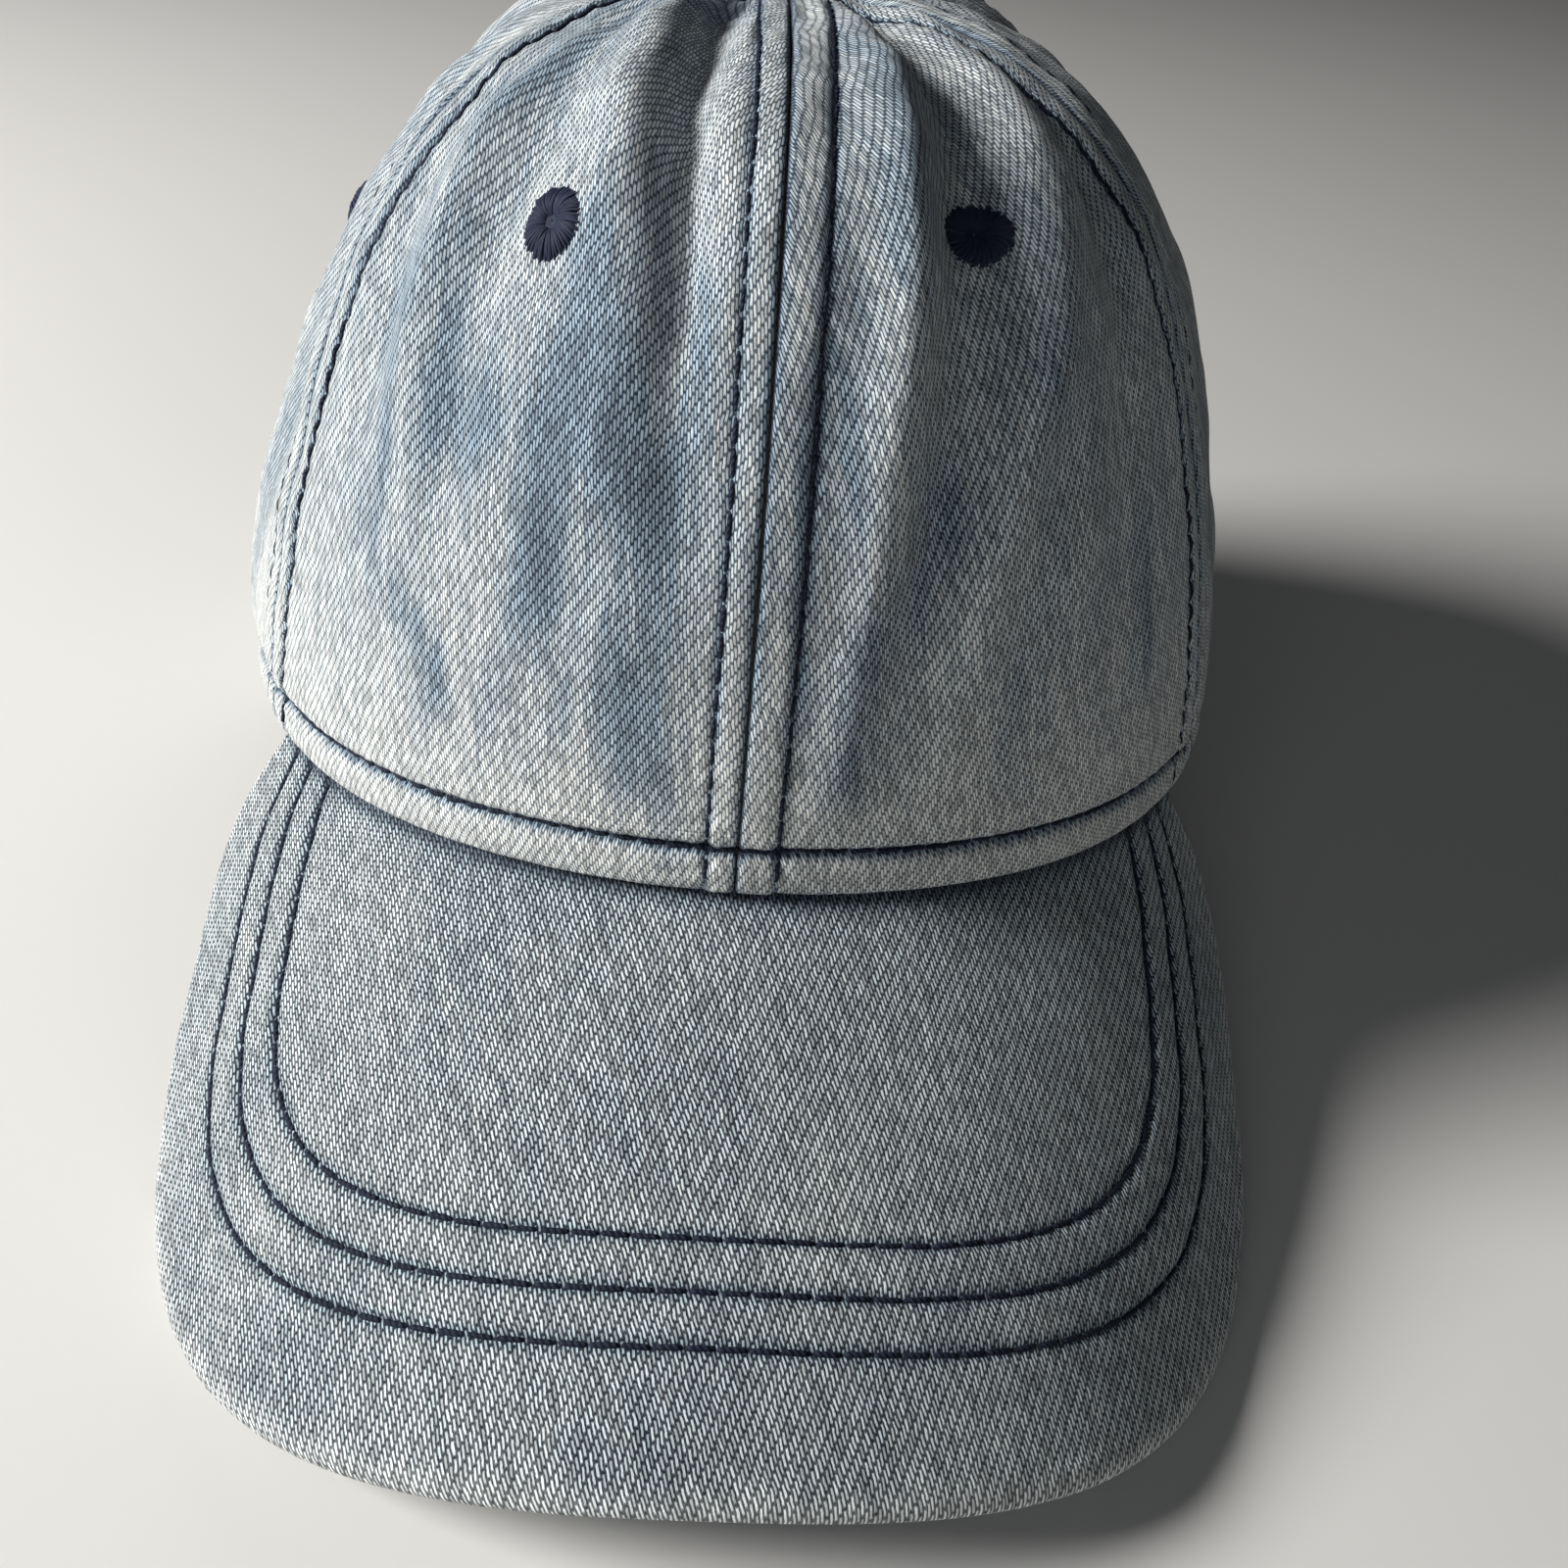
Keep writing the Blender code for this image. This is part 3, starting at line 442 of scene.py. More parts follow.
def part(points, quads, cloth, tone):
    shape = points.shape[:-1]
    cloth = np.stack([np.broadcast_to(c, shape) for c in cloth], -1)
    tone = np.stack([np.broadcast_to(t, shape) for t in tone], -1)
    return points.reshape(-1, 3), quads, cloth.reshape(-1, 2), tone.reshape(-1, 3)


def grid_quads(rows, columns, around=False):
    """Quads of a grid, facing out when rows go up and columns go to the right."""
    index = np.arange(rows * columns).reshape(rows, columns)
    if around:
        index = np.concatenate([index, index[:, :1]], 1)
    corners = (index[:-1, :-1], index[:-1, 1:], index[1:, 1:], index[1:, :-1])
    return np.stack([corner.ravel() for corner in corners], -1)


def shell(outer, inner, cloth, tone, inner_tone, keep=None):
    """A closed sheet between two grids. keep picks the quads that stay."""
    rows, columns = outer.shape[:2]
    quads = grid_quads(rows, columns)
    if keep is not None:
        quads = quads[keep.ravel()]
    count = rows * columns
    starts, ends = quads.ravel(), np.roll(quads, -1, axis=1).ravel()
    rim = ~np.isin(starts * count + ends, ends * count + starts)
    starts, ends = starts[rim], ends[rim]
    sides = np.stack([ends, starts, starts + count, ends + count], -1)
    everything = np.concatenate([quads, quads[:, ::-1] + count, sides])
    first = part(outer, quads, cloth, tone)
    second = part(inner, quads, cloth, inner_tone)
    points, clothes, tones = (np.concatenate([first[i], second[i]]) for i in (0, 2, 3))
    used, index = np.unique(everything, return_inverse=True)
    return points[used], index.reshape(everything.shape), clothes[used], tones[used]


def tubes(rings, cloth, tone):
    """Capped tubes from an array (tube, ring, side, xyz)."""
    count, length, sides = rings.shape[:3]
    one = grid_quads(length, sides, around=True)
    caps = np.array([(0, 1, 2, 3), (0, 3, 4, 7), (4, 5, 6, 7)])
    one = np.concatenate([one, caps[:, ::-1], caps + (length - 1) * sides])
    quads = (one[None] + (np.arange(count) * length * sides)[:, None, None]).reshape(-1, 4)
    return part(rings, quads, cloth, tone)


def closed_tube_quads(rows, sides):
    """Quads of a long tube with an even number of sides, closed at both ends."""
    half = sides // 2 - 1
    caps = np.array([
        (first + k, first + k + 1, first + sides - 2 - k, first + sides - 1 - k)
        for first in (0, (rows - 1) * sides) for k in range(half)
    ])
    caps[:half] = caps[:half, ::-1]
    return np.concatenate([grid_quads(rows, sides, around=True), caps])


def joined(parts):
    start, quads = 0, []
    for points, faces, _, _ in parts:
        quads.append(faces + start)
        start += len(points)
    return (
        np.concatenate([p[0] for p in parts]), np.concatenate(quads),
        np.concatenate([p[2] for p in parts]), np.concatenate([p[3] for p in parts]),
    )


def piece(name, body, nodes, finish, parts, sharp=50):
    """A mesh object from its parts, riding on a body and standing for CAD nodes."""
    points, quads, cloth, tone = joined(parts)
    mesh = bpy.data.meshes.new(name)
    mesh.from_pydata(points + np.array([0.0, ORIGIN_SHIFT, 0.0]), [], quads.tolist())
    for label, kind, key, values in (
        ("cloth", "FLOAT2", "vector", cloth), ("wash", "FLOAT_VECTOR", "vector", tone),
    ):
        mesh.attributes.new(label, kind, "POINT").data.foreach_set(key, values.astype(np.float32).ravel())
    mesh.validate()
    mesh.materials.append(finish)
    mesh.shade_smooth()
    mesh.set_sharp_from_angle(angle=math.radians(sharp))
    made = bpy.data.objects.new(name, mesh)
    bpy.context.scene.collection.objects.link(made)
    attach(made, body)
    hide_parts(*nodes)
    return made


def along(path, walked, wanted):
    return np.stack([np.interp(wanted, walked, path[:, i]) for i in range(path.shape[1])], -1)


EIGHTHS = np.arange(8) * math.pi / 4


def thread_rings(centre, side, up, girth, flatness=1.0):
    """Eight points round each spot of each thread, for tubes()."""
    spokes = np.cos(EIGHTHS)[:, None] * side[:, :, None] + flatness * np.sin(EIGHTHS)[:, None] * up[:, :, None]
    return centre[:, :, None] + spokes * girth[..., None, None]


def stitches(path, normals, seed, radius=THREAD, pitch=STITCH_PITCH, lift=0.10, start=0.0):
    """A row of separate stitches: each thread rises out of one hole and dips into the next."""
    draw = np.random.default_rng(seed)
    walked = polyline_length(path) / MM
    first = pitch * math.ceil((walked[0] + start) / pitch) - start
    starts = np.arange(first, walked[-1] - pitch, pitch)
    shares = np.linspace(0.0, 1.0, 9)
    places = starts[:, None] + (-0.03 + 1.06 * shares)[None] * pitch
    centre = along(path, walked, places)
    up = unit(along(normals, walked, places))
    ahead = unit(np.gradient(centre, axis=1))
    side = unit(np.cross(ahead, up))
    middle = 2.0 * shares - 1.0
    rise = (lift + 0.16) * (1.0 - middle**4) - 0.26 * middle**8 - 0.12
    slant = draw.uniform(-0.10, 0.10, (len(starts), 1)) * middle + draw.uniform(-0.05, 0.05, (len(starts), 1))
    centre = centre + up * (rise * MM)[None, :, None] + side * (slant * MM)[..., None]
    girth = radius * (1.0 - 0.22 * middle**6)[None] * draw.uniform(0.92, 1.08, (len(starts), 1))
    cloth = (places[..., None], (EIGHTHS / (2 * math.pi))[None, None])
    tone = (draw.uniform(0, 1, (len(starts), 1, 1)), 0.0, 0.0)
    return tubes(thread_rings(centre, side, up, girth, 0.85), cloth, tone)


def as_unfaded(row):
    """Stitches that take the colour of unfaded cloth, for thread inside a denim piece."""
    return (*row[:3], row[3] * 0 + np.array([1.0, 0.0, 0.0]))


# Materials


class Graph:
    """A material's node tree, with short ways to add nodes."""

    def __init__(self, name):
        self.material = bpy.data.materials.new(name)
        self.material.use_nodes = True
        self.nodes = self.material.node_tree.nodes
        self.links = self.material.node_tree.links
        self.shader = self.nodes["Principled BSDF"]

    def put(self, socket, value):
        if isinstance(value, bpy.types.NodeSocket):
            self.links.new(value, socket)
        elif value is not None:
            socket.default_value = value

    def node(self, kind, inputs=(), **settings):
        made = self.nodes.new(kind)
        for key, value in settings.items():
            setattr(made, key, value)
        for key, value in dict(inputs).items():
            self.put(made.inputs[key], value)
        return made

    def math(self, operation, a, b=None, c=None, clamp=False):
        made = self.nodes.new("ShaderNodeMath")
        made.operation, made.use_clamp = operation, clamp
        for socket, value in zip(made.inputs, (a, b, c)):
            self.put(socket, value)
        return made.outputs[0]

    def times(self, a, b):
        return self.math("MULTIPLY", a, b)

    def plus(self, a, b, clamp=False):
        return self.math("ADD", a, b, clamp=clamp)

    def minus(self, a, b):
        return self.math("SUBTRACT", a, b)

    def scaled(self, value, factor, offset, clamp=False):
        return self.math("MULTIPLY_ADD", value, factor, offset, clamp)

    def attribute(self, name):
        made = self.node("ShaderNodeAttribute", attribute_name=name)
        return self.node("ShaderNodeSeparateXYZ", {0: made.outputs["Vector"]}).outputs

    def point(self, x, y, z=0.0):
        return self.node("ShaderNodeCombineXYZ", {0: x, 1: y, 2: z}).outputs[0]

    def noise(self, vector, scale, detail=2.0, roughness=0.5):
        made = self.node(
            "ShaderNodeTexNoise", {"Vector": vector, "Scale": scale, "Detail": detail, "Roughness": roughness}
        )
        return made.outputs["Fac"]

    def random(self, vector):
        return self.node("ShaderNodeTexWhiteNoise", {"Vector": vector}, noise_dimensions="3D").outputs["Value"]

    def ramp(self, value, low, high, to_low=0.0, to_high=1.0):
        inputs = {"Value": value, "From Min": low, "From Max": high, "To Min": to_low, "To Max": to_high}
        return self.node("ShaderNodeMapRange", inputs, interpolation_type="SMOOTHSTEP").outputs[0]

    def mix(self, share, a, b, mode="MIX"):
        made = self.node("ShaderNodeMix", data_type="RGBA", blend_type=mode)
        for key, value in ((0, share), (6, a), (7, b)):
            self.put(made.inputs[key], (*value, 1.0) if isinstance(value, tuple) else value)
        return made.outputs[2]

    def bump(self, height, distance, strength=1.0, below=None):
        made = self.node("ShaderNodeBump", {"Height": height, "Distance": distance, "Strength": strength})
        if below is not None:
            self.links.new(below, made.inputs["Normal"])
        return made.outputs[0]

    def finish(self, colour, roughness, normal=None, **fixed):
        self.put(self.shader.inputs["Base Color"], colour)
        self.put(self.shader.inputs["Roughness"], roughness)
        if normal is not None:
            self.links.new(normal, self.shader.inputs["Normal"])
        for key, value in fixed.items():
            self.shader.inputs[key.replace("_", " ")].default_value = value
        return self.material


def twill(g, x, y, pitch, side):
    """Share of the surface that is a warp float, 0 to 1, and the float's own random number."""
    column_place = g.math("DIVIDE", x, pitch[0])
    column = g.math("FLOOR", column_place)
    across = g.math("FRACT", column_place)
    place = g.math("DIVIDE", g.minus(g.math("DIVIDE", y, pitch[1]), column), REPEAT)
    row = g.math("FLOOR", place)
    up = g.math("FRACT", place)
    ridge = g.minus(1.0, g.math("ABSOLUTE", g.scaled(across, 2.0, -1.0)))
    length = g.minus(1.0, g.math("ABSOLUTE", g.scaled(up, 2.0, -1.0)))
    chance = g.random(g.point(column, row))
    shown = g.times(g.ramp(ridge, *side), g.ramp(length, 0.08, 0.42))
    return shown, chance, column


def denim(name, pitch, side, skew, pale, blue, gap_pale, gap_blue, mottle, reverse):
    """Washed denim: pale or blue warp floats over dark gaps, faded by the wash attribute."""
    g = Graph(name)
    plain_x, plain_y, _ = g.attribute("cloth")
    depth, wear, inside = g.attribute("wash")
    cosine, sine = math.cos(skew[0]), math.sin(skew[0])
    y = g.minus(g.times(plain_y, cosine), g.times(plain_x, sine))
    x = g.plus(g.times(plain_x, cosine), g.times(plain_y, sine))
    x = g.scaled(y, skew[1], x)
    flat = g.point(x, y)
    sway_x = g.scaled(g.noise(flat, 0.22), 0.8, -0.4)
    sway_y = g.scaled(g.noise(g.point(y, x, 4.0), 0.16), 0.8, -0.4)
    fine_x = g.scaled(g.noise(g.point(x, y, 9.0), 1.6), 0.16, -0.08)
    wx = g.plus(g.plus(x, sway_x), fine_x)
    wy = g.plus(y, sway_y)
    shown, chance, column = twill(g, wx, wy, pitch, side)
    yarn = g.noise(g.point(g.times(column, 3.7), g.times(y, 0.06), 1.0), 1.0, 3.0)
    streak = g.noise(g.point(g.times(x, 0.55), g.times(y, 0.09)), 1.0, 4.0, 0.6)
    blot = g.noise(g.point(x, g.times(y, 0.6), 2.0), 0.42, 4.0, 0.65)
    lift = g.scaled(g.minus(streak, 0.5), 1.00 * mottle, depth)
    lift = g.scaled(g.minus(blot, 0.5), 0.45 * mottle, lift)
    lift = g.scaled(g.minus(yarn, 0.5), 1.10 * mottle, lift)
    lift = g.scaled(wear, -0.45, lift)
    faded = g.node("ShaderNodeClamp", {0: lift}).outputs[0]
    cover = g.scaled(faded, 0.12, 0.87)
    shown = g.minus(1.0, g.times(g.minus(1.0, shown), cover))
    shown = g.times(shown, g.ramp(chance, -0.2, 0.5, 0.72, 1.0))
    lint = g.noise(g.point(g.times(x, 1.6), y, 12.0), 3.2, 2.0, 0.6)
    shown = g.scaled(g.minus(lint, 0.5), 0.55, shown, clamp=True)
    float_colour = g.mix(faded, pale, blue)
    # The gaps between floats are the cloth's own dark blue deepened with painted shade between the floats
    gap_colour = g.mix(faded, gap_pale, gap_blue)
    colour = g.mix(shown, gap_colour, float_colour)
    glow = g.ramp(chance, 0.0, 1.0, 0.80, 1.24)
    colour = g.mix(1.0, colour, g.node("ShaderNodeCombineColor", {0: glow, 1: glow, 2: glow}).outputs[0], "MULTIPLY")
    # Wash depth above 1 turns the cloth dark navy: unfaded dye kept in grooves, together with painted shade in them
    soaked_and_shaded = g.ramp(depth, 1.0, 1.9, 0.0, 0.88)
    colour = g.mix(soaked_and_shaded, colour, (0.006, 0.011, 0.028))
    back = g.mix(g.scaled(shown, 0.62, g.times(blot, 0.3)), reverse, gap_pale)
    colour = g.mix(inside, colour, back)
    fuzz = g.noise(g.point(x, y, 5.0), 4.5, 3.0, 0.7)
    height = g.scaled(fuzz, 0.55, shown)
    wrinkle = g.bump(g.noise(g.point(x, g.times(y, 0.7), 7.0), 0.35, 3.0), 0.00045, 0.45)
    normal = g.bump(height, 0.00014, 0.85, wrinkle)
    rough = g.ramp(shown, 0.0, 1.0, 0.97, 0.86)
    return g.finish(colour, rough, normal, Sheen_Weight=0.12, Sheen_Roughness=0.6, Specular_IOR_Level=0.22)


def navy_thread():
    """Spun thread: two plies twisted, a little lint on top."""
    g = Graph("navy_thread")
    x, y, _ = g.attribute("cloth")
    tone, _, _ = g.attribute("wash")
    turn = g.plus(g.math("DIVIDE", x, 0.85), g.times(y, 2.0))
    twist = g.math("SINE", g.times(turn, 2 * math.pi))
    fibres = g.noise(g.point(g.times(x, 1.2), g.times(y, 9.0), 3.0), 2.5, 3.0, 0.7)
    height = g.scaled(fibres, 0.9, twist)
    share = g.scaled(tone, 0.25, g.times(g.ramp(height, -0.8, 1.6), 0.55))
    colour = g.mix(share, (0.003, 0.005, 0.012), (0.022, 0.031, 0.060))
    return g.finish(
        colour, g.ramp(fibres, 0.3, 0.7, 0.55, 0.80), g.bump(height, 0.00006, 0.8),
        Sheen_Weight=0.03, Specular_IOR_Level=0.16,
    )


def embroidery():
    """Satin floss of the eyelets: fine strands with a soft gloss."""
    g = Graph("navy_floss")
    x, y, _ = g.attribute("cloth")
    tone, _, _ = g.attribute("wash")
    strands = g.noise(g.point(g.times(x, 0.5), g.times(y, 7.0), tone), 2.2, 3.0, 0.7)
    share = g.scaled(tone, 0.4, g.times(strands, 0.7))
    colour = g.mix(share, (0.004, 0.007, 0.020), (0.022, 0.032, 0.075))
    return g.finish(
        colour, g.ramp(strands, 0.3, 0.7, 0.42, 0.66), g.bump(strands, 0.00008, 0.8),
        Sheen_Weight=0.05, Specular_IOR_Level=0.22,
    )


def cotton(name, light, shade, pitch, slant):
    """Cotton tape or band: a fine weave with slubs. slant 0 is a plain weave, 1 a twill."""
    g = Graph(name)
    x, y, _ = g.attribute("cloth")
    along_x = g.math("SINE", g.times(g.scaled(y, slant, x), 2 * math.pi / pitch))
    along_y = g.math("SINE", g.times(y, (1.0 - 0.5 * slant) * 2 * math.pi / pitch))
    crossing = g.times(along_x, along_y)
    weave = g.scaled(crossing, 0.25 * (1.0 - slant), g.times(along_x, 0.25))
    slub = g.noise(g.point(g.times(x, 0.15), y, 1.0), 1.6, 4.0, 0.65)
    stain = g.noise(g.point(x, y, 6.0), 0.05, 4.0)
    share = g.plus(g.scaled(weave, 0.9, 0.30), g.times(g.minus(slub, 0.5), 0.9))
    share = g.plus(share, g.times(g.minus(stain, 0.5), 0.8), clamp=True)
    colour = g.mix(share, light, shade)
    height = g.scaled(slub, 0.6, weave)
    return g.finish(colour, g.ramp(slub, 0.3, 0.7, 0.86, 0.96), g.bump(height, 0.00009, 0.8), Specular_IOR_Level=0.25)


def brass():
    """Antique brass: dark in the pits, rubbed bright in broad patches, fine scratches."""
    g = Graph("antique_brass")
    place = g.node("ShaderNodeTexCoord").outputs["Object"]
    patch = g.noise(place, 220.0, 5.0, 0.6)
    pits = g.noise(place, 1500.0, 3.0, 0.6)
    stretch = g.node("ShaderNodeMapping", {"Vector": place, "Scale": (400.0, 400.0, 9000.0)}).outputs[0]
    scratch = g.noise(stretch, 1.0, 2.0)
    tarnish = g.scaled(pits, 0.35, g.ramp(patch, 0.30, 0.75, 0.10, 0.60), clamp=True)
    colour = g.mix(tarnish, (0.42, 0.29, 0.13), (0.085, 0.060, 0.035))
    rough = g.scaled(tarnish, 0.28, g.ramp(scratch, 0.3, 0.7, 0.24, 0.38))
    height = g.scaled(scratch, 0.3, pits)
    return g.finish(colour, rough, g.bump(height, 0.00003, 0.5), Metallic=1.0)


def board_plastic():
    """The brim's board: pale moulded sheet with a fine matt grain."""
    g = Graph("board_sheet")
    place = g.node("ShaderNodeTexCoord").outputs["Object"]
    grain = g.noise(place, 1800.0, 3.0, 0.6)
    cloud = g.noise(place, 60.0, 3.0)
    colour = g.mix(cloud, (0.70, 0.69, 0.66), (0.82, 0.82, 0.80))
    return g.finish(colour, g.ramp(grain, 0.3, 0.7, 0.45, 0.62), g.bump(grain, 0.00004, 0.5))


# The gap colours hold painted shade between the floats as well as the cloth's own dark blue
CROWN_DENIM = denim(
    "crown_denim", CROWN_PITCH, CROWN_FLOAT, CROWN_SKEW, pale=(0.90, 0.91, 0.87), blue=(0.33, 0.425, 0.51),
    gap_pale=(0.075, 0.105, 0.140), gap_blue=(0.011, 0.027, 0.053), mottle=1.0, reverse=(0.55, 0.58, 0.62),
)
BRIM_DENIM = denim(
    "brim_denim", BRIM_PITCH, BRIM_FLOAT, BRIM_SKEW, pale=(0.90, 0.94, 0.93), blue=(0.44, 0.545, 0.60),
    gap_pale=(0.018, 0.028, 0.042), gap_blue=(0.005, 0.011, 0.025), mottle=0.75, reverse=(0.50, 0.54, 0.58),
)
NAVY = navy_thread()
FLOSS = embroidery()
TAPE = cotton("cotton_tape", (0.72, 0.70, 0.64), (0.42, 0.40, 0.36), 0.55, 0.0)
BAND_COTTON = cotton("sweatband_cotton", (0.66, 0.64, 0.58), (0.40, 0.39, 0.36), 0.62, 1.0)
BRASS = brass()
BOARD = board_plastic()


# Crown


# Columns of a panel's mesh: mm from each seam, and how many more lie between
PANEL_EDGE = np.array([0, .25, .5, .8, 1.2, 1.8, 2.5, 3.2, 3.7, 4.1, 4.5, 4.9, 5.3, 5.8, 6.6, 7.6, 8.8, 10.0])
PANEL_FREE_COLUMNS = 46
# Rows, as (mm above the rim, share of the way from there to the band's top), then (None, level) above the band
PANEL_LOW = np.concatenate([np.arange(0, 1.6, 0.2), np.arange(1.6, 10.2, 0.35)])
PANEL_ROWS = (
    [(height, 0.0) for height in PANEL_LOW] + [(PANEL_LOW[-1], step / 7) for step in range(1, 7)]
    + [(None, level) for level in np.linspace(0.0, TOP_LEVEL, 132)]
)


def panel_level(phi, height, fade):
    """The level of one row of a panel's mesh at each crown angle."""
    if height is None:
        return np.full_like(phi, fade)
    return (height * MM / band_height(phi) - 1.0) * (1 - fade)


def crown_panel(name, start, end):
    """One gore of the crown: fine enough for folds and puckers, closest beside its seams."""
    middle = (start + end) / 2
    mean_pace = (seam_pace(start) + seam_pace(end)) / 2
    levels, phis = [], []
    for height, fade in PANEL_ROWS:
        guess = float(panel_level(np.float64(middle), height, fade))
        width = abs(wrapped(end - start)) * mean_pace * ring_radius(guess)
        fit = min(1.0, 0.40 * width / PANEL_EDGE[-1])
        low = beside_seam(start, guess, 0.10 + PANEL_EDGE * fit)
        high = beside_seam(end, guess, -0.10 - PANEL_EDGE * fit)[::-1]
        between = np.linspace(low[-1], high[0], PANEL_FREE_COLUMNS + 2)[1:-1]
        phi = np.concatenate([low, between, high])
        phis.append(phi)
        levels.append(panel_level(phi, height, fade))
    phi, level = np.array(phis), np.array(levels)
    outer = skin(phi, level)
    normal = crown_normal(phi, level)
    turned = smooth(height_above_rim(phi, level), 0.0, 1.5)
    inner = outer - normal * (CLOTH * (0.75 + 0.25 * turned))[..., None]
    steps = np.linalg.norm(np.diff(outer, axis=1), axis=-1) / MM
    sideways = np.concatenate([np.zeros((len(steps), 1)), np.cumsum(steps, 1)], 1)
    centre = np.array([np.interp(middle, row_phi, row_s) for row_phi, row_s in zip(phi, sideways)])
    sideways = sideways - centre[:, None]
    climb = np.linalg.norm(np.diff(crown_xyz(phi, level), axis=0), axis=-1) / MM
    upwards = np.concatenate([np.zeros((1, phi.shape[1])), np.cumsum(climb, 0)], 0) + rim_height(phi)[:1] / MM
    blue, wear = wash(phi, level)
    keep = None
    if name.startswith("back"):
        x, z = outer[..., 0], outer[..., 2]
        grown = np.hypot(x / (OPENING_HALF_WIDTH + 1.6 * MM), z / (OPENING_HEIGHT + 1.6 * MM))
        outside = grown > 1.0
        keep = outside[:-1, :-1] | outside[1:, :-1] | outside[:-1, 1:] | outside[1:, 1:]
    made = shell(outer, inner, (sideways, upwards), (blue, wear, 0.0), (blue, wear, 1.0), keep)
    piece(f"crown_{name}", "cap", [f"{name}_panel"], CROWN_DENIM, [made])


def crown_topstitch(seam, side, seed):
    """The row of stitches on one side of a seam, from the rim up to the button."""
    angle, right, left = SEAMS[seam]
    distance = -right if side == "right" else left
    if seam == "back":
        first = level_of_height(math.pi, OPENING_HEIGHT + BINDING + 1.0 * MM)
    else:
        first = 0.6 * MM / band_height(np.float64(angle)) - 1.0
    walk, walked = MERIDIANS[seam]
    fine = np.linspace(np.interp(first, walk, walked), np.interp(STITCH_TOP, walk, walked), 900)
    level = np.interp(fine, walked, walk)
    wobble = 0.12 * np.sin(fine / 9.0 + seed) + 0.06 * np.sin(fine / 3.1 + 2 * seed)
    phi = beside_seam(angle, level, np.sign(distance) * (row_reach(abs(distance), level) + wobble))
    path, normals = skin(phi, level), crown_normal(phi, level)
    row = stitches(path, normals, seed, SEAM_THREAD, start=fine[0])
    piece(f"stitches_{seam}_seam_{side}", "cap", [f"topstitch_{seam}_seam_{side}"], NAVY, [row])


def rim_stitches():
    """The row of stitches that closes the turned-up edge, round to the opening."""
    reach = math.pi - math.asin((OPENING_HALF_WIDTH + 2 * BINDING) / HALF_WIDTH)
    phi = np.linspace(-reach, reach, 2400)
    level = (RIM_STITCH + 0.12 * np.sin(phi * 17)) * MM / band_height(phi) - 1.0
    path, normals = skin(phi, level), crown_normal(phi, level)
    piece("stitches_rim", "cap", ["rim_stitch_row"], NAVY, [stitches(path, normals, 3)])


def eyelet(place, side, phi, level, seed):
    """An embroidered air hole: satin threads laid from a ragged outer edge until they close over the hole."""
    draw = np.random.default_rng(seed)
    up = crown_normal(np.array([phi]), np.array([level]))[0]
    across = unit(np.cross(up, np.array([0.0, 0.0, 1.0])))
    lengthways = np.cross(up, across)
    step = 1e-4
    here = crown_xyz(np.array([phi, phi + step, phi]), np.array([level, level, level + step]))
    pace = np.array([[axis @ (here[1] - here[0]), axis @ (here[2] - here[0])] for axis in (across, lengthways)]) / step

    def around(turn, radius, height):
        """Points round the hole, laid on the folded cloth."""
        spread = np.stack([np.cos(turn) * radius, np.sin(turn) * radius], -1) * MM
        there = np.einsum("ij,...j->...i", np.linalg.inv(pace), spread)
        spot_phi, spot_level = phi + there[..., 0], level + there[..., 1]
        return skin(spot_phi, spot_level) + crown_normal(spot_phi, spot_level) * (height * MM)[..., None]

    count, shares = 92, np.linspace(0.0, 1.0, 12)
    turn = (np.arange(count) / count * 2 * math.pi + draw.uniform(-0.03, 0.03, count))[:, None]
    outer = (4.25 + draw.uniform(-0.30, 0.30, count))[:, None]
    radius = outer + (0.16 - outer) * shares[None] ** 0.85
    swell = np.sin(math.pi * np.clip(shares * 1.12, 0, 1))[None] ** 0.6
    height = -0.25 + 0.95 * swell - 2.2 * smooth(shares, 0.86, 1.0)[None] + draw.uniform(-0.06, 0.06, count)[:, None]
    drift = turn + 0.10 * np.sin(shares * 2.6)[None] + draw.uniform(-0.05, 0.05, count)[:, None] * (1 - shares)
    line = around(drift, radius, height)
    ahead = unit(np.gradient(line, axis=1))
    beside = unit(np.cross(ahead, np.broadcast_to(up, ahead.shape)))
    over = np.cross(beside, ahead)
    girth = (0.19 - 0.11 * shares)[None] * draw.uniform(0.9, 1.1, count)[:, None] * MM
    walked = (1.0 - shares)[None, :, None] * 4.0 + turn[..., None] * 3.0
    cloth = (walked, (EIGHTHS / math.pi)[None, None])
    tone = (draw.uniform(0, 1, (count, 1, 1)), 0.0, 0.0)
    threads = tubes(thread_rings(line, beside, over, girth), cloth, tone)
    # The padding under the threads: (mm from the hole's middle, mm above the cloth) round its section
    profile = np.array([
        (0.07, -2.4), (0.07, 0.06), (0.60, 0.22), (2.0, 0.52), (3.0, 0.42), (3.8, 0.02), (4.0, -0.5),
        (3.4, -2.4), (2.0, -2.75), (0.95, -2.75),
    ])
    rounds = np.linspace(0, 2 * math.pi, 49)[:-1]
    size = (len(profile), len(rounds))
    base = around(rounds[None, :], np.broadcast_to(profile[:, :1], size), np.broadcast_to(profile[:, 1:], size))
    here, last = np.arange(size[1]), (size[0] - 1) * size[1]
    ahead = np.roll(here, -1)
    closing = np.stack([here + last, ahead + last, ahead, here], -1)
    quads = np.concatenate([grid_quads(*size, around=True), closing])[:, ::-1]
    padding = part(base, quads, (rounds[None] * 3, profile[:, :1]), (0.2, 0.0, 0.0))
    name = f"eyelet_{place}_{side}"
    piece(f"embroidered_{name}", "cap", [name], FLOSS, [threads, padding], 70)


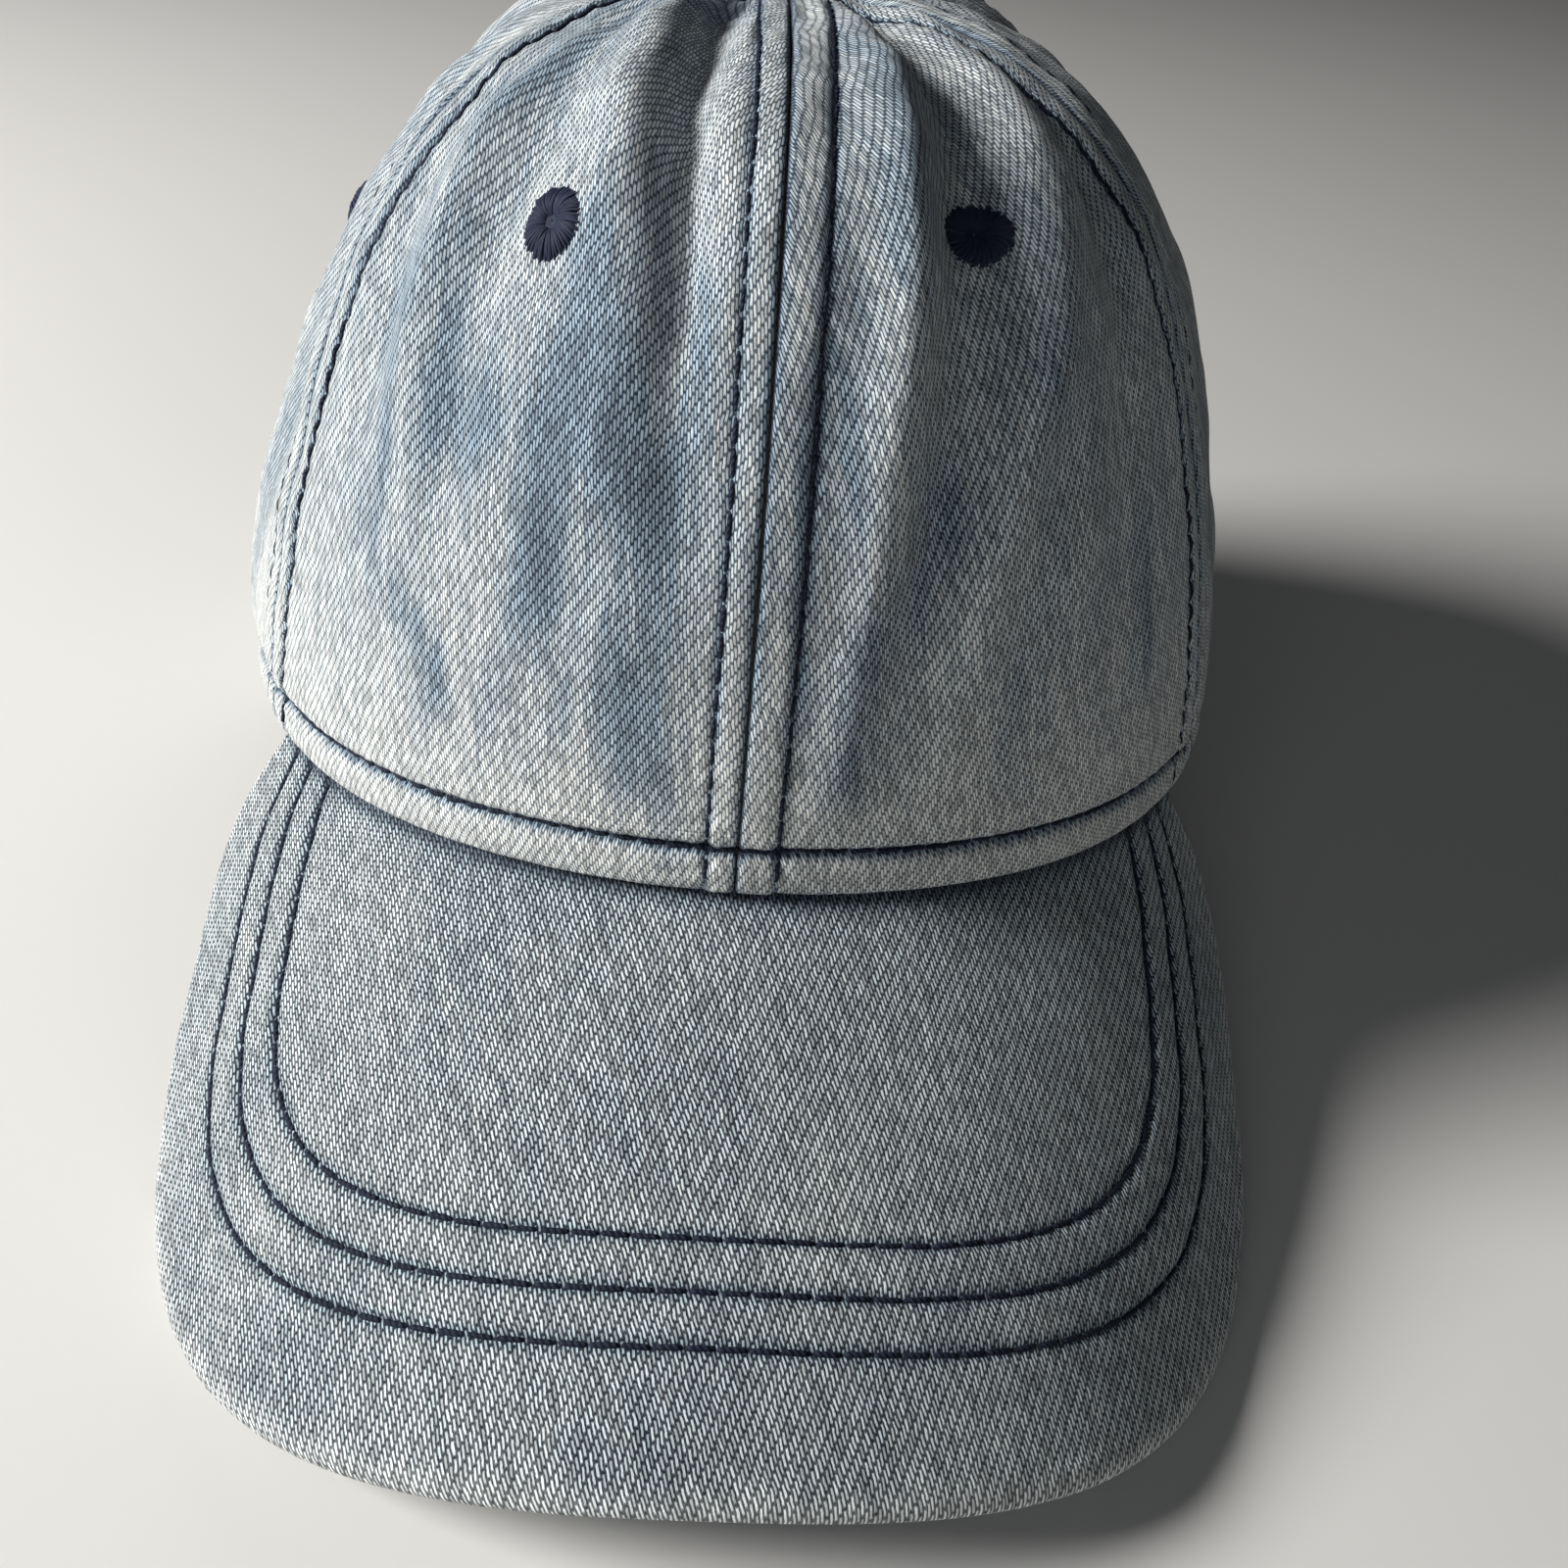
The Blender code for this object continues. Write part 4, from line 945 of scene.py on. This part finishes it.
def seam_tape(seam):
    """The woven tape over a seam, inside the crown, with its edges stitched down."""
    angle = SEAMS[seam][0]
    first = level_of_height(math.pi, OPENING_HEIGHT + BINDING + 2.5 * MM) if seam == "back" else -0.8
    walk, walked = MERIDIANS[seam]
    fine = np.linspace(np.interp(first, walk, walked), np.interp(0.86, walk, walked), 150)
    level = np.interp(fine, walked, walk)[:, None]
    across = np.linspace(-TAPE_WIDTH / 2, TAPE_WIDTH / 2, 25)[None]
    fit = np.minimum(1.0, 0.30 * ring_radius(level) / (TAPE_WIDTH / 2))
    phi = beside_seam(angle, level, across * fit)
    crowned = 0.22 * bell(np.abs(across) - 4.9, 0.8) - 0.25 * smooth(np.abs(across), 5.4, 6.0)
    weave = 0.05 * waves(across * 3, fine[:, None], 8)
    inset = TAPE_INSET / MM
    outer = folded(phi, level, 0.1 - inset)
    inner = folded(phi, level, crowned - weave - 0.62 - inset)
    parts = [shell(outer, inner, (across, fine[:, None]), (0, 0, 0), (0, 0, 0))]
    level, fit = level[:, 0], fit[:, 0]
    for place in (-4.9, 4.9):
        phi = beside_seam(angle, level, place * fit)
        path = folded(phi, level, -0.45 - inset)
        parts.append(stitches(path, -crown_normal(phi, level), 50 + int(place), 0.16 * MM, 3.0, 0.05))
    piece(f"tape_{seam}", "cap", [f"seam_tape_{seam}"], TAPE, parts)


def sweatband():
    """The soft band inside the rim: a folded, stitched upper edge and slightly wavy cloth."""
    reach = math.pi - math.asin((OPENING_HALF_WIDTH + BINDING) / HALF_WIDTH)
    phi = np.linspace(-reach, reach, 520)[None]
    share = np.linspace(0, 1, 40)[:, None]
    change = 1 - smooth(np.abs(phi), FRONT_SEAM, FRONT_SEAM + math.radians(8))
    u, v = brim_uv(*plan(np.minimum(np.abs(phi), FRONT_SEAM), SWEATBAND_INSET))
    on_brim = (brim_xyz(u, v)[..., 2] + GAP) * (1 - smooth(np.abs(phi), FRONT_SEAM, RIM_FLAT))
    foot = on_brim - BRIM_DEPTH * change + 0.2 * MM
    height = foot + (rim_height(phi) + SWEATBAND_HEIGHT - foot) * share
    level = np.empty_like(height)
    for j in range(height.shape[1]):
        walk = np.linspace(-1.4, 0.5, 200)
        table = crown_xyz(np.full_like(walk, phi[0, j]), walk)[:, 2]
        level[:, j] = np.interp(height[:, j], table, walk)
    phis = np.broadcast_to(phi, level.shape)
    around = phis * HALF_LENGTH / MM
    up = (height - foot) / MM
    below = up - up[-1:]
    ripple = 0.18 * waves(around, up * 2, 61, 10, 0.01, 0.05) + 0.10 * np.sin(around / 1.9) * bell(below + 4.5, 2.2)
    turned = 0.35 * smooth(below, -0.7, 0.0)
    edge = 0.30 * smooth(below, -6.0, -4.9) - 0.30 * bell(below + 4.6, 0.6) - turned
    normal = crown_normal(phis, level)
    plain = crown_xyz(phis, level, SWEATBAND_INSET)
    outer = plain - normal * ((0.15 + turned) * MM)[..., None]
    inner = plain - normal * ((0.95 + ripple + edge) * MM)[..., None]
    made = shell(outer, inner, (around, up), (0, 0, 0), (0, 0, 0))
    thread_row = stitches(inner[SWEATBAND_STITCH_ROW], -normal[SWEATBAND_STITCH_ROW], 71, 0.2 * MM, 3.2, 0.10)
    piece("inner_sweatband", "cap", ["sweatband"], BAND_COTTON, [made, thread_row])


def back_phi(x):
    return np.copysign(math.pi - np.arcsin(np.minimum(np.abs(x) / HALF_WIDTH, 1.0)), x)


def crown_back(x, height):
    """Angle and level of the crown's back at each x and height."""
    phi = back_phi(x)
    for _ in range(5):
        walk = np.linspace(-1.0, 0.8, 240)
        table = crown_xyz(phi[:, None], walk[None] + 0 * phi[:, None])[..., 2]
        level = np.array([np.interp(h, t, walk) for h, t in zip(height, table)])
        phi = back_phi(x / np.cos(np.maximum(level, 0.0) * math.pi / 2))
    return phi, level


def beside_opening(angle, width):
    """Crown angle and level at a share of the binding's width out from the opening's edge."""
    x = (OPENING_HALF_WIDTH + BINDING * width) * np.cos(angle)
    z = np.maximum((OPENING_HEIGHT + BINDING * width) * np.sin(angle), 0.0)
    return crown_back(x, z)


def opening_binding():
    """A folded strip of denim bound round the edge of the opening, stitched near its outer edge."""
    steps = 260
    share = np.linspace(0.0, 1.0, steps)
    section = []          # (share of the width from the opening's edge, mm outwards)
    for turn in np.linspace(-90, 270, 29)[:-1]:
        angle = math.radians(turn)
        wide, thick = math.cos(angle), math.sin(angle)
        section.append((0.5 + 0.5 * np.copysign(abs(wide) ** 0.55, wide), 0.60 * thick - 0.62 + 0.35 * thick))
    pucker = 0.06 * np.sin(2 * math.pi * share * 44)
    grown = {}
    for width in (0.0, 0.5, 1.0):
        phi, level = beside_opening(math.pi * share, width)
        grown[width] = (folded(phi, level), crown_normal(phi, level))
    rings = []
    for width, lift in section:
        near, far = (0.0, 0.5) if width < 0.5 else (0.5, 1.0)
        blend = (width - near) * 2
        place = grown[near][0] * (1 - blend) + grown[far][0] * blend
        normal = unit(grown[near][1] * (1 - blend) + grown[far][1] * blend)
        detail = (pucker - 0.18 * bell(width - 0.80, 0.10)) * (lift > -0.6)
        rings.append(place + normal * ((lift + 0.40 + detail) * MM)[..., None])
    rings = np.stack(rings, 1)
    walked = polyline_length(rings[:, len(section) // 2]) / MM
    around = np.linspace(0, 9, len(section))
    blue = 0.28 + 0.12 * waves(walked, walked, 17)[:, None]
    quads = closed_tube_quads(steps, len(section))[:, ::-1]
    body = part(rings, quads, (around[None], walked[:, None]), (blue, 0.35, 0.0))
    phi, level = beside_opening(math.pi * np.linspace(0.01, 0.99, 1200), 0.78)
    row = stitches(folded(phi, level, 0.62), crown_normal(phi, level), 81, 0.26 * MM, FINE_PITCH, 0.06)
    piece("binding_opening", "cap", ["opening_binding"], CROWN_DENIM, [body, as_unfaded(row)])


def top_button():
    """The covered button: a dome of denim gathered under its edge."""
    profile = np.array([
        (0.0, 4.55), (0.8, 4.54), (1.8, 4.42), (2.9, 4.18), (4.0, 3.80), (5.0, 3.30), (5.9, 2.70), (6.6, 2.05),
        (7.1, 1.40), (7.3, 0.85), (7.15, 0.30), (6.6, -0.15), (5.6, -0.45), (4.0, -0.55), (1.6, -0.60), (0.0, -0.60),
    ])
    turns = np.linspace(0, 2 * math.pi, 73)[:-1]
    gather = smooth(profile[:, 0], 4.5, 7.2)[:, None] * np.cos(turns * 12 + 0.6 * np.sin(turns * 3))[None]
    radius = profile[:, :1] + 0.13 * gather
    height = profile[:, 1:] + 0.10 * gather
    points = np.stack([radius * np.cos(turns), radius * np.sin(turns), height], -1) * MM
    points = points + np.array([0.0, TOP_SHIFT, CROWN_TOP])
    blue = 0.30 + 0.25 * smooth(profile[:, 1:], 2.0, 0.0) + 0.08 * gather
    wear = 0.5 * smooth(profile[:, 1:], 3.0, 4.4)
    quads = grid_quads(len(profile), len(turns), around=True)[:, ::-1]
    made = part(points, quads, (points[..., 0] / MM, points[..., 1] / MM), (blue, wear, 0.0))
    piece("covered_top_button", "cap", ["top_button"], CROWN_DENIM, [made])


# Brim


def outline_path(half_width, length, roundness, count, low, high):
    """Even steps round a superellipse on the brim, as (u, v) rows."""
    angle = np.radians(np.linspace(high, low, 4001))
    u, v = outline_uv(angle, half_width, length, roundness)
    line = np.stack([u, v], -1)
    walked = polyline_length(line)
    return along(line, walked, np.linspace(0, walked[-1], count))


def brim_row_distance(u, v):
    """Signed distances in mm from each stitch row, negative inside it."""
    found = []
    for half_width, front in STITCH_ROWS:
        half_width, front = half_width * MM, front * MM
        reach = np.where(v > BRIM_WIDEST, front - BRIM_WIDEST, BRIM_TAIL)
        across, ahead = np.abs(u) / half_width, np.abs(v - BRIM_WIDEST) / reach
        size = (across**STITCH_ROUNDNESS + ahead**STITCH_ROUNDNESS + 1e-12) ** (1 / STITCH_ROUNDNESS)
        pull_u = across ** (STITCH_ROUNDNESS - 1) / half_width
        pull_v = ahead ** (STITCH_ROUNDNESS - 1) / reach
        slope = np.hypot(pull_u, pull_v) * size ** (1 - STITCH_ROUNDNESS)
        found.append((size - 1) / np.maximum(slope, 1e-6) / MM)
    return found


def brim_relief(u, v):
    """Raised channels between the stitch rows, grooves along them and puckers beside them, in mm."""
    rows = brim_row_distance(u, v)
    total = 0.10 * waves(u / MM, v / MM, 41, 12, 0.01, 0.05)
    for index, away in enumerate(rows):
        turn = np.arctan2(v - BRIM_WIDEST, u) * 62 / STITCH_PITCH * 2
        ripple = np.sin(turn + index + 0.8 * away)
        total = total - 0.50 * bell(away, 0.70) + 0.10 * ripple * bell(np.abs(away) - 0.9, 1.5)
    channel = smooth(rows[0], -2.5, 1.5) * (1 - smooth(rows[2], -1.5, 3.0))
    return total + 0.30 * channel


def brim_surface(side):
    """Points of the top or the under face, from the tucked inner edge out and round to the mid-thickness."""
    columns, inner_rows = 460, 92
    margins = np.array([3.4, 3.0, 2.6, 2.2, 1.8, 1.45, 1.1, 0.8, 0.55, 0.35, 0.18, 0.06, 0.0]) * MM
    depth0 = 0.0 if side == "top" else BRIM_DEPTH
    corner = brim_uv(*plan(np.float64(FRONT_SEAM)))[1]
    line = np.stack(brim_uv(*plan(np.linspace(-FRONT_SEAM, FRONT_SEAM, 1201), BRIM_TUCK), depth0), -1)
    walked = polyline_length(line)
    inner = along(line, walked, np.linspace(0, walked[-1], columns))
    edges = []
    for margin in margins:
        angle = np.radians(np.linspace(240, -60, 6001))
        u, v = outline_uv(angle, BRIM_HALF_WIDTH - margin, BRIM_LENGTH - margin, BRIM_ROUNDNESS)
        stay = v > corner + margin
        edge = np.stack([u[stay], v[stay]], -1)
        walked = polyline_length(edge)
        edges.append(along(edge, walked, np.linspace(0, walked[-1], columns)))
    share = np.linspace(0, 1, inner_rows)[:, None, None]
    spots = np.concatenate([inner[None] * (1 - share) + edges[0][None] * share, np.array(edges[1:])])
    turned = (margins[0] - margins[1:]) / margins[0]
    return spots, np.concatenate([np.zeros(inner_rows), 1 - np.sqrt(np.clip(1 - turned**2, 0, 1))])


def brim_cover(side):
    spots, rounding = brim_surface(side)
    u, v = spots[..., 0], spots[..., 1]
    sign = 1.0 if side == "top" else -1.0
    half = BRIM_DEPTH / 2 - 0.10 * MM
    lift = brim_relief(u, v) * MM * (1 - rounding)[:, None]
    if side == "under":
        lift = lift * 0.8
    tucked = smooth(np.arange(len(rounding)), 0, 6)[:, None]
    wave = 0.12 * MM * waves(u / MM, v / MM, 44, 8, 0.02, 0.06) * (rounding > 0)[:, None]
    depth = BRIM_DEPTH / 2 - sign * (half - half * rounding[:, None] + lift * tucked) + sign * (-0.1 * MM) + wave
    outer = brim_xyz(u, v, depth)
    thick = 0.9 * MM * (1 - 0.75 * rounding[:, None])
    shrink = rounding[:, None] * 0.9 * MM
    length = np.maximum(np.hypot(u, v - BRIM_WIDEST), 1e-6)
    inner = brim_xyz(u - u / length * shrink, v - (v - BRIM_WIDEST) / length * shrink, depth + sign * thick)
    rows = brim_row_distance(u, v)
    outline = (np.abs(u) / BRIM_HALF_WIDTH) ** BRIM_ROUNDNESS
    ahead = np.abs(v - BRIM_WIDEST) / np.where(v > BRIM_WIDEST, BRIM_LENGTH - BRIM_WIDEST, BRIM_TAIL)
    size = (outline + ahead**BRIM_ROUNDNESS) ** (1 / BRIM_ROUNDNESS)
    blue = 0.50 + 0.10 * waves(u / MM, v / MM * 0.6, 47, 12, 0.01, 0.05)
    ahead = spots_from_crown(u, v)
    # Painted shade on the brim beside the crown: a broad darkening and a narrow shadow line at the junction; the paler
    # outer edge is wear
    blue = blue + 0.20 * bell(ahead, 7.0) + 0.9 * bell(np.maximum(ahead, 0.0), 1.3) - 0.25 * smooth(size, 0.93, 0.99)
    wear = 0.75 * smooth(size, 0.955, 0.992)
    for away in rows:
        # The stitch grooves darken: unfaded dye kept in them and painted shade
        blue = blue + 0.20 * bell(away, 1.4) + 1.00 * bell(away, 0.60)
        wear = wear + 0.22 * bell(np.abs(away) - 2.1, 0.9)
    tone = (np.clip(blue, 0, 2), np.clip(wear, 0, 1), 0.0)
    points, quads, cloth, tone = shell(outer, inner, (u / MM, -v / MM), tone, (0.4, 0.2, 1.0))
    if side == "top":
        quads = quads[:, ::-1]
    made = (points, quads, cloth, tone)
    piece(f"brim_{side}_cloth", "cap", [f"brim_{side}_cover"], BRIM_DENIM, [made])


def spots_from_crown(u, v):
    """mm forward of the crown's front edge, along the brim."""
    x = ARCH_RADIUS * np.sin(u / ARCH_RADIUS)
    phi = np.arcsin(np.clip(x / HALF_WIDTH, -1, 1))
    return (v - brim_uv(*plan(phi))[1]) / MM


def brim_stitches(name, half_width, front, seed):
    """One row of stitches on the top of the brim and its twin on the underside."""
    line = outline_path(half_width * MM, front * MM, STITCH_ROUNDNESS, 6000, -35, 215)
    line = line[spots_from_crown(line[:, 0], line[:, 1]) > 0.4]
    u, v = line[:, 0], line[:, 1]
    lift = brim_relief(u, v) * MM
    parts = []
    for side, sign in (("top", 1.0), ("under", -1.0)):
        height = BRIM_DEPTH / 2 + lift * (1.0 if side == "top" else 0.8)
        surface_depth = BRIM_DEPTH / 2 - sign * height
        path = brim_xyz(u, v, surface_depth)
        normals = unit(brim_xyz(u, v, surface_depth - sign * MM) - path)
        parts.append(stitches(path, normals, seed + (side == "under"), THREAD, STITCH_PITCH, 0.10))
    piece(f"stitches_brim_{name}", "cap", [f"brim_stitch_row_{name}"], NAVY, parts)


# Strap and buckle


def polar(radius, angle):
    return np.stack([radius * np.sin(angle), BACK_CENTRE_Y + radius * np.cos(angle)], -1)


def strip_section(pressed):
    """Outline of a flat strip: heights, thickness shares and mm from its nearer edge, pressed along its stitches."""
    turn = np.linspace(0, 2 * math.pi, STRIP_SIDES + 1)[:-1]
    wide = np.copysign(np.abs(np.cos(turn)) ** 0.18, np.cos(turn))
    flat = np.copysign(np.abs(np.sin(turn)) ** 0.45, np.sin(turn))
    middle, half = (STRAP_Z[0] + STRAP_Z[1]) / 2, (STRAP_Z[1] - STRAP_Z[0]) / 2
    edge = (half - np.abs(half * wide)) / MM
    return middle + half * wide, flat * (1.0 - pressed * bell(edge - TAB_ROW, 0.6)), edge


def strip(plane, heights, edge, walked, base_blue, seed):
    """A closed strip of cloth from its points seen from above and its outline's heights."""
    points = np.concatenate([plane, np.broadcast_to(heights[None, :, None], plane.shape[:2] + (1,))], -1)
    walked = walked[:, None] + 0 * heights[None]
    across = heights[None] / MM + 0 * walked
    blue = np.clip(base_blue + 0.12 * waves(walked, across, seed), 0, 1)
    quads = closed_tube_quads(len(plane), STRIP_SIDES)
    return part(points, quads, (across, walked), (blue, 0.6 * bell(edge, 0.7)[None], 0.0))


def tab_stitches(radius, angles, height, seed):
    path = np.concatenate([polar(radius, angles), np.full((len(angles), 1), height)], -1)
    normals = np.stack([np.sin(angles), np.cos(angles), np.zeros_like(angles)], -1)
    return as_unfaded(stitches(path, normals, seed, FINE_THREAD, FINE_PITCH, 0.02))


def back_strap():
    angles = np.linspace(*STRAP_ENDS, 150)
    heights, thick, edge = strip_section(0.22)
    plane = polar(STRAP_OUTER - STRAP_THICK / 2 + STRAP_THICK / 2 * thick[None], angles[:, None])
    cloth = strip(plane, heights, edge, angles * BACK_RADIUS / MM, 0.30, 91)
    piece("strap_cloth", "strap", ["back_strap"], CROWN_DENIM, [cloth])


def buckle_tab():
    """The folded tab: two layers joined by a loop round the buckle's bar."""
    half, loop = 0.4 * MM, 1.45 * MM
    lower = BACK_RADIUS + 0.35 * MM + GAP + half
    upper = lower + 2 * half + 0.3 * MM
    centre = polar(np.float64(BAR_RADIUS), np.float64(BAR_ANGLE))
    turns = np.radians(np.linspace(-110, 90, 41)) - BAR_ANGLE
    flat = np.linspace(*TAB_ENDS, 40)
    bend = centre + loop * np.stack([np.cos(turns), np.sin(turns)], -1)
    path = np.concatenate([polar(np.full(40, lower), flat), bend, polar(np.full(40, upper), flat[::-1])])
    walked = polyline_length(path)
    even = np.linspace(0, walked[-1], 170)
    path = along(path, walked, even)
    tangent = unit(np.gradient(path, axis=0))
    out = np.stack([-tangent[:, 1], tangent[:, 0]], -1)
    heights, thick, edge = strip_section(0.20)
    plane = path[:, None] + out[:, None] * (half * thick)[None, :, None]
    parts = [strip(plane, heights, edge, even / MM, 0.32, 95)]
    angles = np.linspace(TAB_ENDS[0] + 0.02, TAB_ENDS[1] - 0.03, 300)
    for height, seed in ((STRAP_Z[0] + TAB_ROW * MM, 96), (STRAP_Z[1] - TAB_ROW * MM, 97)):
        parts.append(tab_stitches(upper + half * 0.86, angles, height, seed))
    piece("tab_cloth", "cap", ["buckle_tab"], CROWN_DENIM, parts)


def bevelled(node, name, body, width):
    """A brass part with its edges broken, in place of its plain CAD solid."""
    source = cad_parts[node]
    made = bpy.data.objects.new(name, source.data.copy())
    bpy.context.scene.collection.objects.link(made)
    weld = made.modifiers.new("weld", "WELD")
    weld.merge_threshold = 1e-6
    bevel = made.modifiers.new("bevel", "BEVEL")
    bevel.width, bevel.segments, bevel.limit_method = width, 3, "ANGLE"
    bevel.angle_limit = math.radians(35)
    bpy.context.view_layer.update()
    shaped = bpy.data.meshes.new_from_object(made.evaluated_get(bpy.context.evaluated_depsgraph_get()))
    made.modifiers.clear()
    made.data = shaped
    shaped.materials.clear()
    shaped.materials.append(BRASS)
    shaped.shade_smooth()
    shaped.set_sharp_from_angle(angle=math.radians(40))
    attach(made, body)
    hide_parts(node)


# Assembly

for panel_name, span in {
    "front_left": (0.0, FRONT_SEAM), "side_left": (FRONT_SEAM, BACK_SEAM), "back_left": (BACK_SEAM, math.pi),
    "front_right": (-FRONT_SEAM, 0.0), "side_right": (-BACK_SEAM, -FRONT_SEAM), "back_right": (-math.pi, -BACK_SEAM),
}.items():
    crown_panel(panel_name, *span)

for number, seam_name in enumerate(SEAMS):
    crown_topstitch(seam_name, "right", 100 + number)
    crown_topstitch(seam_name, "left", 110 + number)
    seam_tape(seam_name)
rim_stitches()

for number, (place, angle, level) in enumerate((
    ("front", 24.2, 0.508), ("side", 88.0, 0.47), ("back", 149.0, 0.46),
)):
    lower = 0.032 if place == "front" else 0.0     # the photo's right-hand front eyelet is not quite its twin's mirror
    eyelet(place, "left", math.radians(angle), level, 200 + number)
    eyelet(place, "right", -math.radians(angle + 25 * lower), level - lower, 210 + number)

opening_binding()
sweatband()
top_button()

brim_cover("top")
brim_cover("under")
for number, (row_name, (half_width, front)) in enumerate(zip(("inner", "middle", "outer"), STITCH_ROWS)):
    brim_stitches(row_name, half_width, front, 300 + 10 * number)

back_strap()
buckle_tab()
bevelled("buckle_frame", "brass_buckle_frame", "cap", 0.22 * MM)
bevelled("buckle_pin", "brass_buckle_pin", "cap", 0.20 * MM)
bevelled("buckle_lever", "brass_buckle_lever", "lever", 0.16 * MM)
bevelled("button_back_plate", "brass_button_back_plate", "cap", 0.20 * MM)

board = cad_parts["brim_board"]
board.data.materials.clear()
board.data.materials.append(BOARD)


# Floor, light and camera


def floor_material():
    g = Graph("pale_floor")
    place = g.node("ShaderNodeTexCoord").outputs["Object"]
    cloud = g.noise(place, 3.0, 3.0)
    colour = g.mix(cloud, (0.76, 0.75, 0.73), (0.80, 0.79, 0.77))
    return g.finish(colour, 0.8)


floor_mesh = bpy.data.meshes.new("floor")
floor_mesh.from_pydata([(-4, -3, 0), (4, -3, 0), (4, 6, 0), (-4, 6, 0)], [], [(0, 1, 2, 3)])
floor_mesh.materials.append(floor_material())
floor = bpy.data.objects.new("floor", floor_mesh)
bpy.context.scene.collection.objects.link(floor)


def area_light(name, place, target, size, energy, colour):
    light = bpy.data.lights.new(name, "AREA")
    light.shape, light.size, light.energy, light.color = "DISK", size, energy, colour
    made = bpy.data.objects.new(name, light)
    made.location = place
    made.rotation_euler = (Vector(target) - Vector(place)).to_track_quat("-Z", "Y").to_euler()
    bpy.context.scene.collection.objects.link(made)


# A low lamp on the viewer's left rakes the cloth, as the window does in the photo
area_light("key", (-1.20, -0.20, 0.76), (0.0, -0.03, 0.06), 0.55, 31.0, (1.0, 0.985, 0.96))
area_light("fill", (-0.5, -1.3, 0.8), (0.0, -0.03, 0.06), 1.0, 2.0, (0.95, 0.97, 1.0))

world = bpy.data.worlds.new("studio")
world.use_nodes = True
world.node_tree.nodes["Background"].inputs["Color"].default_value = (0.80, 0.83, 0.88, 1.0)
world.node_tree.nodes["Background"].inputs["Strength"].default_value = 0.04
bpy.context.scene.world = world
bpy.context.scene.view_settings.view_transform = "Standard"

# The camera that was fitted to the photo
YAW, PITCH, ROLL = 0.072, 0.646, 0.107
ahead = Vector((math.sin(YAW) * math.cos(PITCH), math.cos(YAW) * math.cos(PITCH), -math.sin(PITCH)))
level_right = Vector((math.cos(YAW), -math.sin(YAW), 0.0))
level_up = level_right.cross(ahead)
right = math.cos(ROLL) * level_right + math.sin(ROLL) * level_up
upright = -math.sin(ROLL) * level_right + math.cos(ROLL) * level_up
camera_data = bpy.data.cameras.new("camera")
camera_data.lens, camera_data.sensor_width = 33.26, 36.0
camera_data.clip_start = 0.01
camera = bpy.data.objects.new("camera", camera_data)
turn = Matrix((right, upright, -ahead)).transposed().to_4x4()
camera.matrix_world = Matrix.Translation((-0.005212, -0.206742, 0.174662)) @ turn
bpy.context.scene.collection.objects.link(camera)
bpy.context.scene.camera = camera
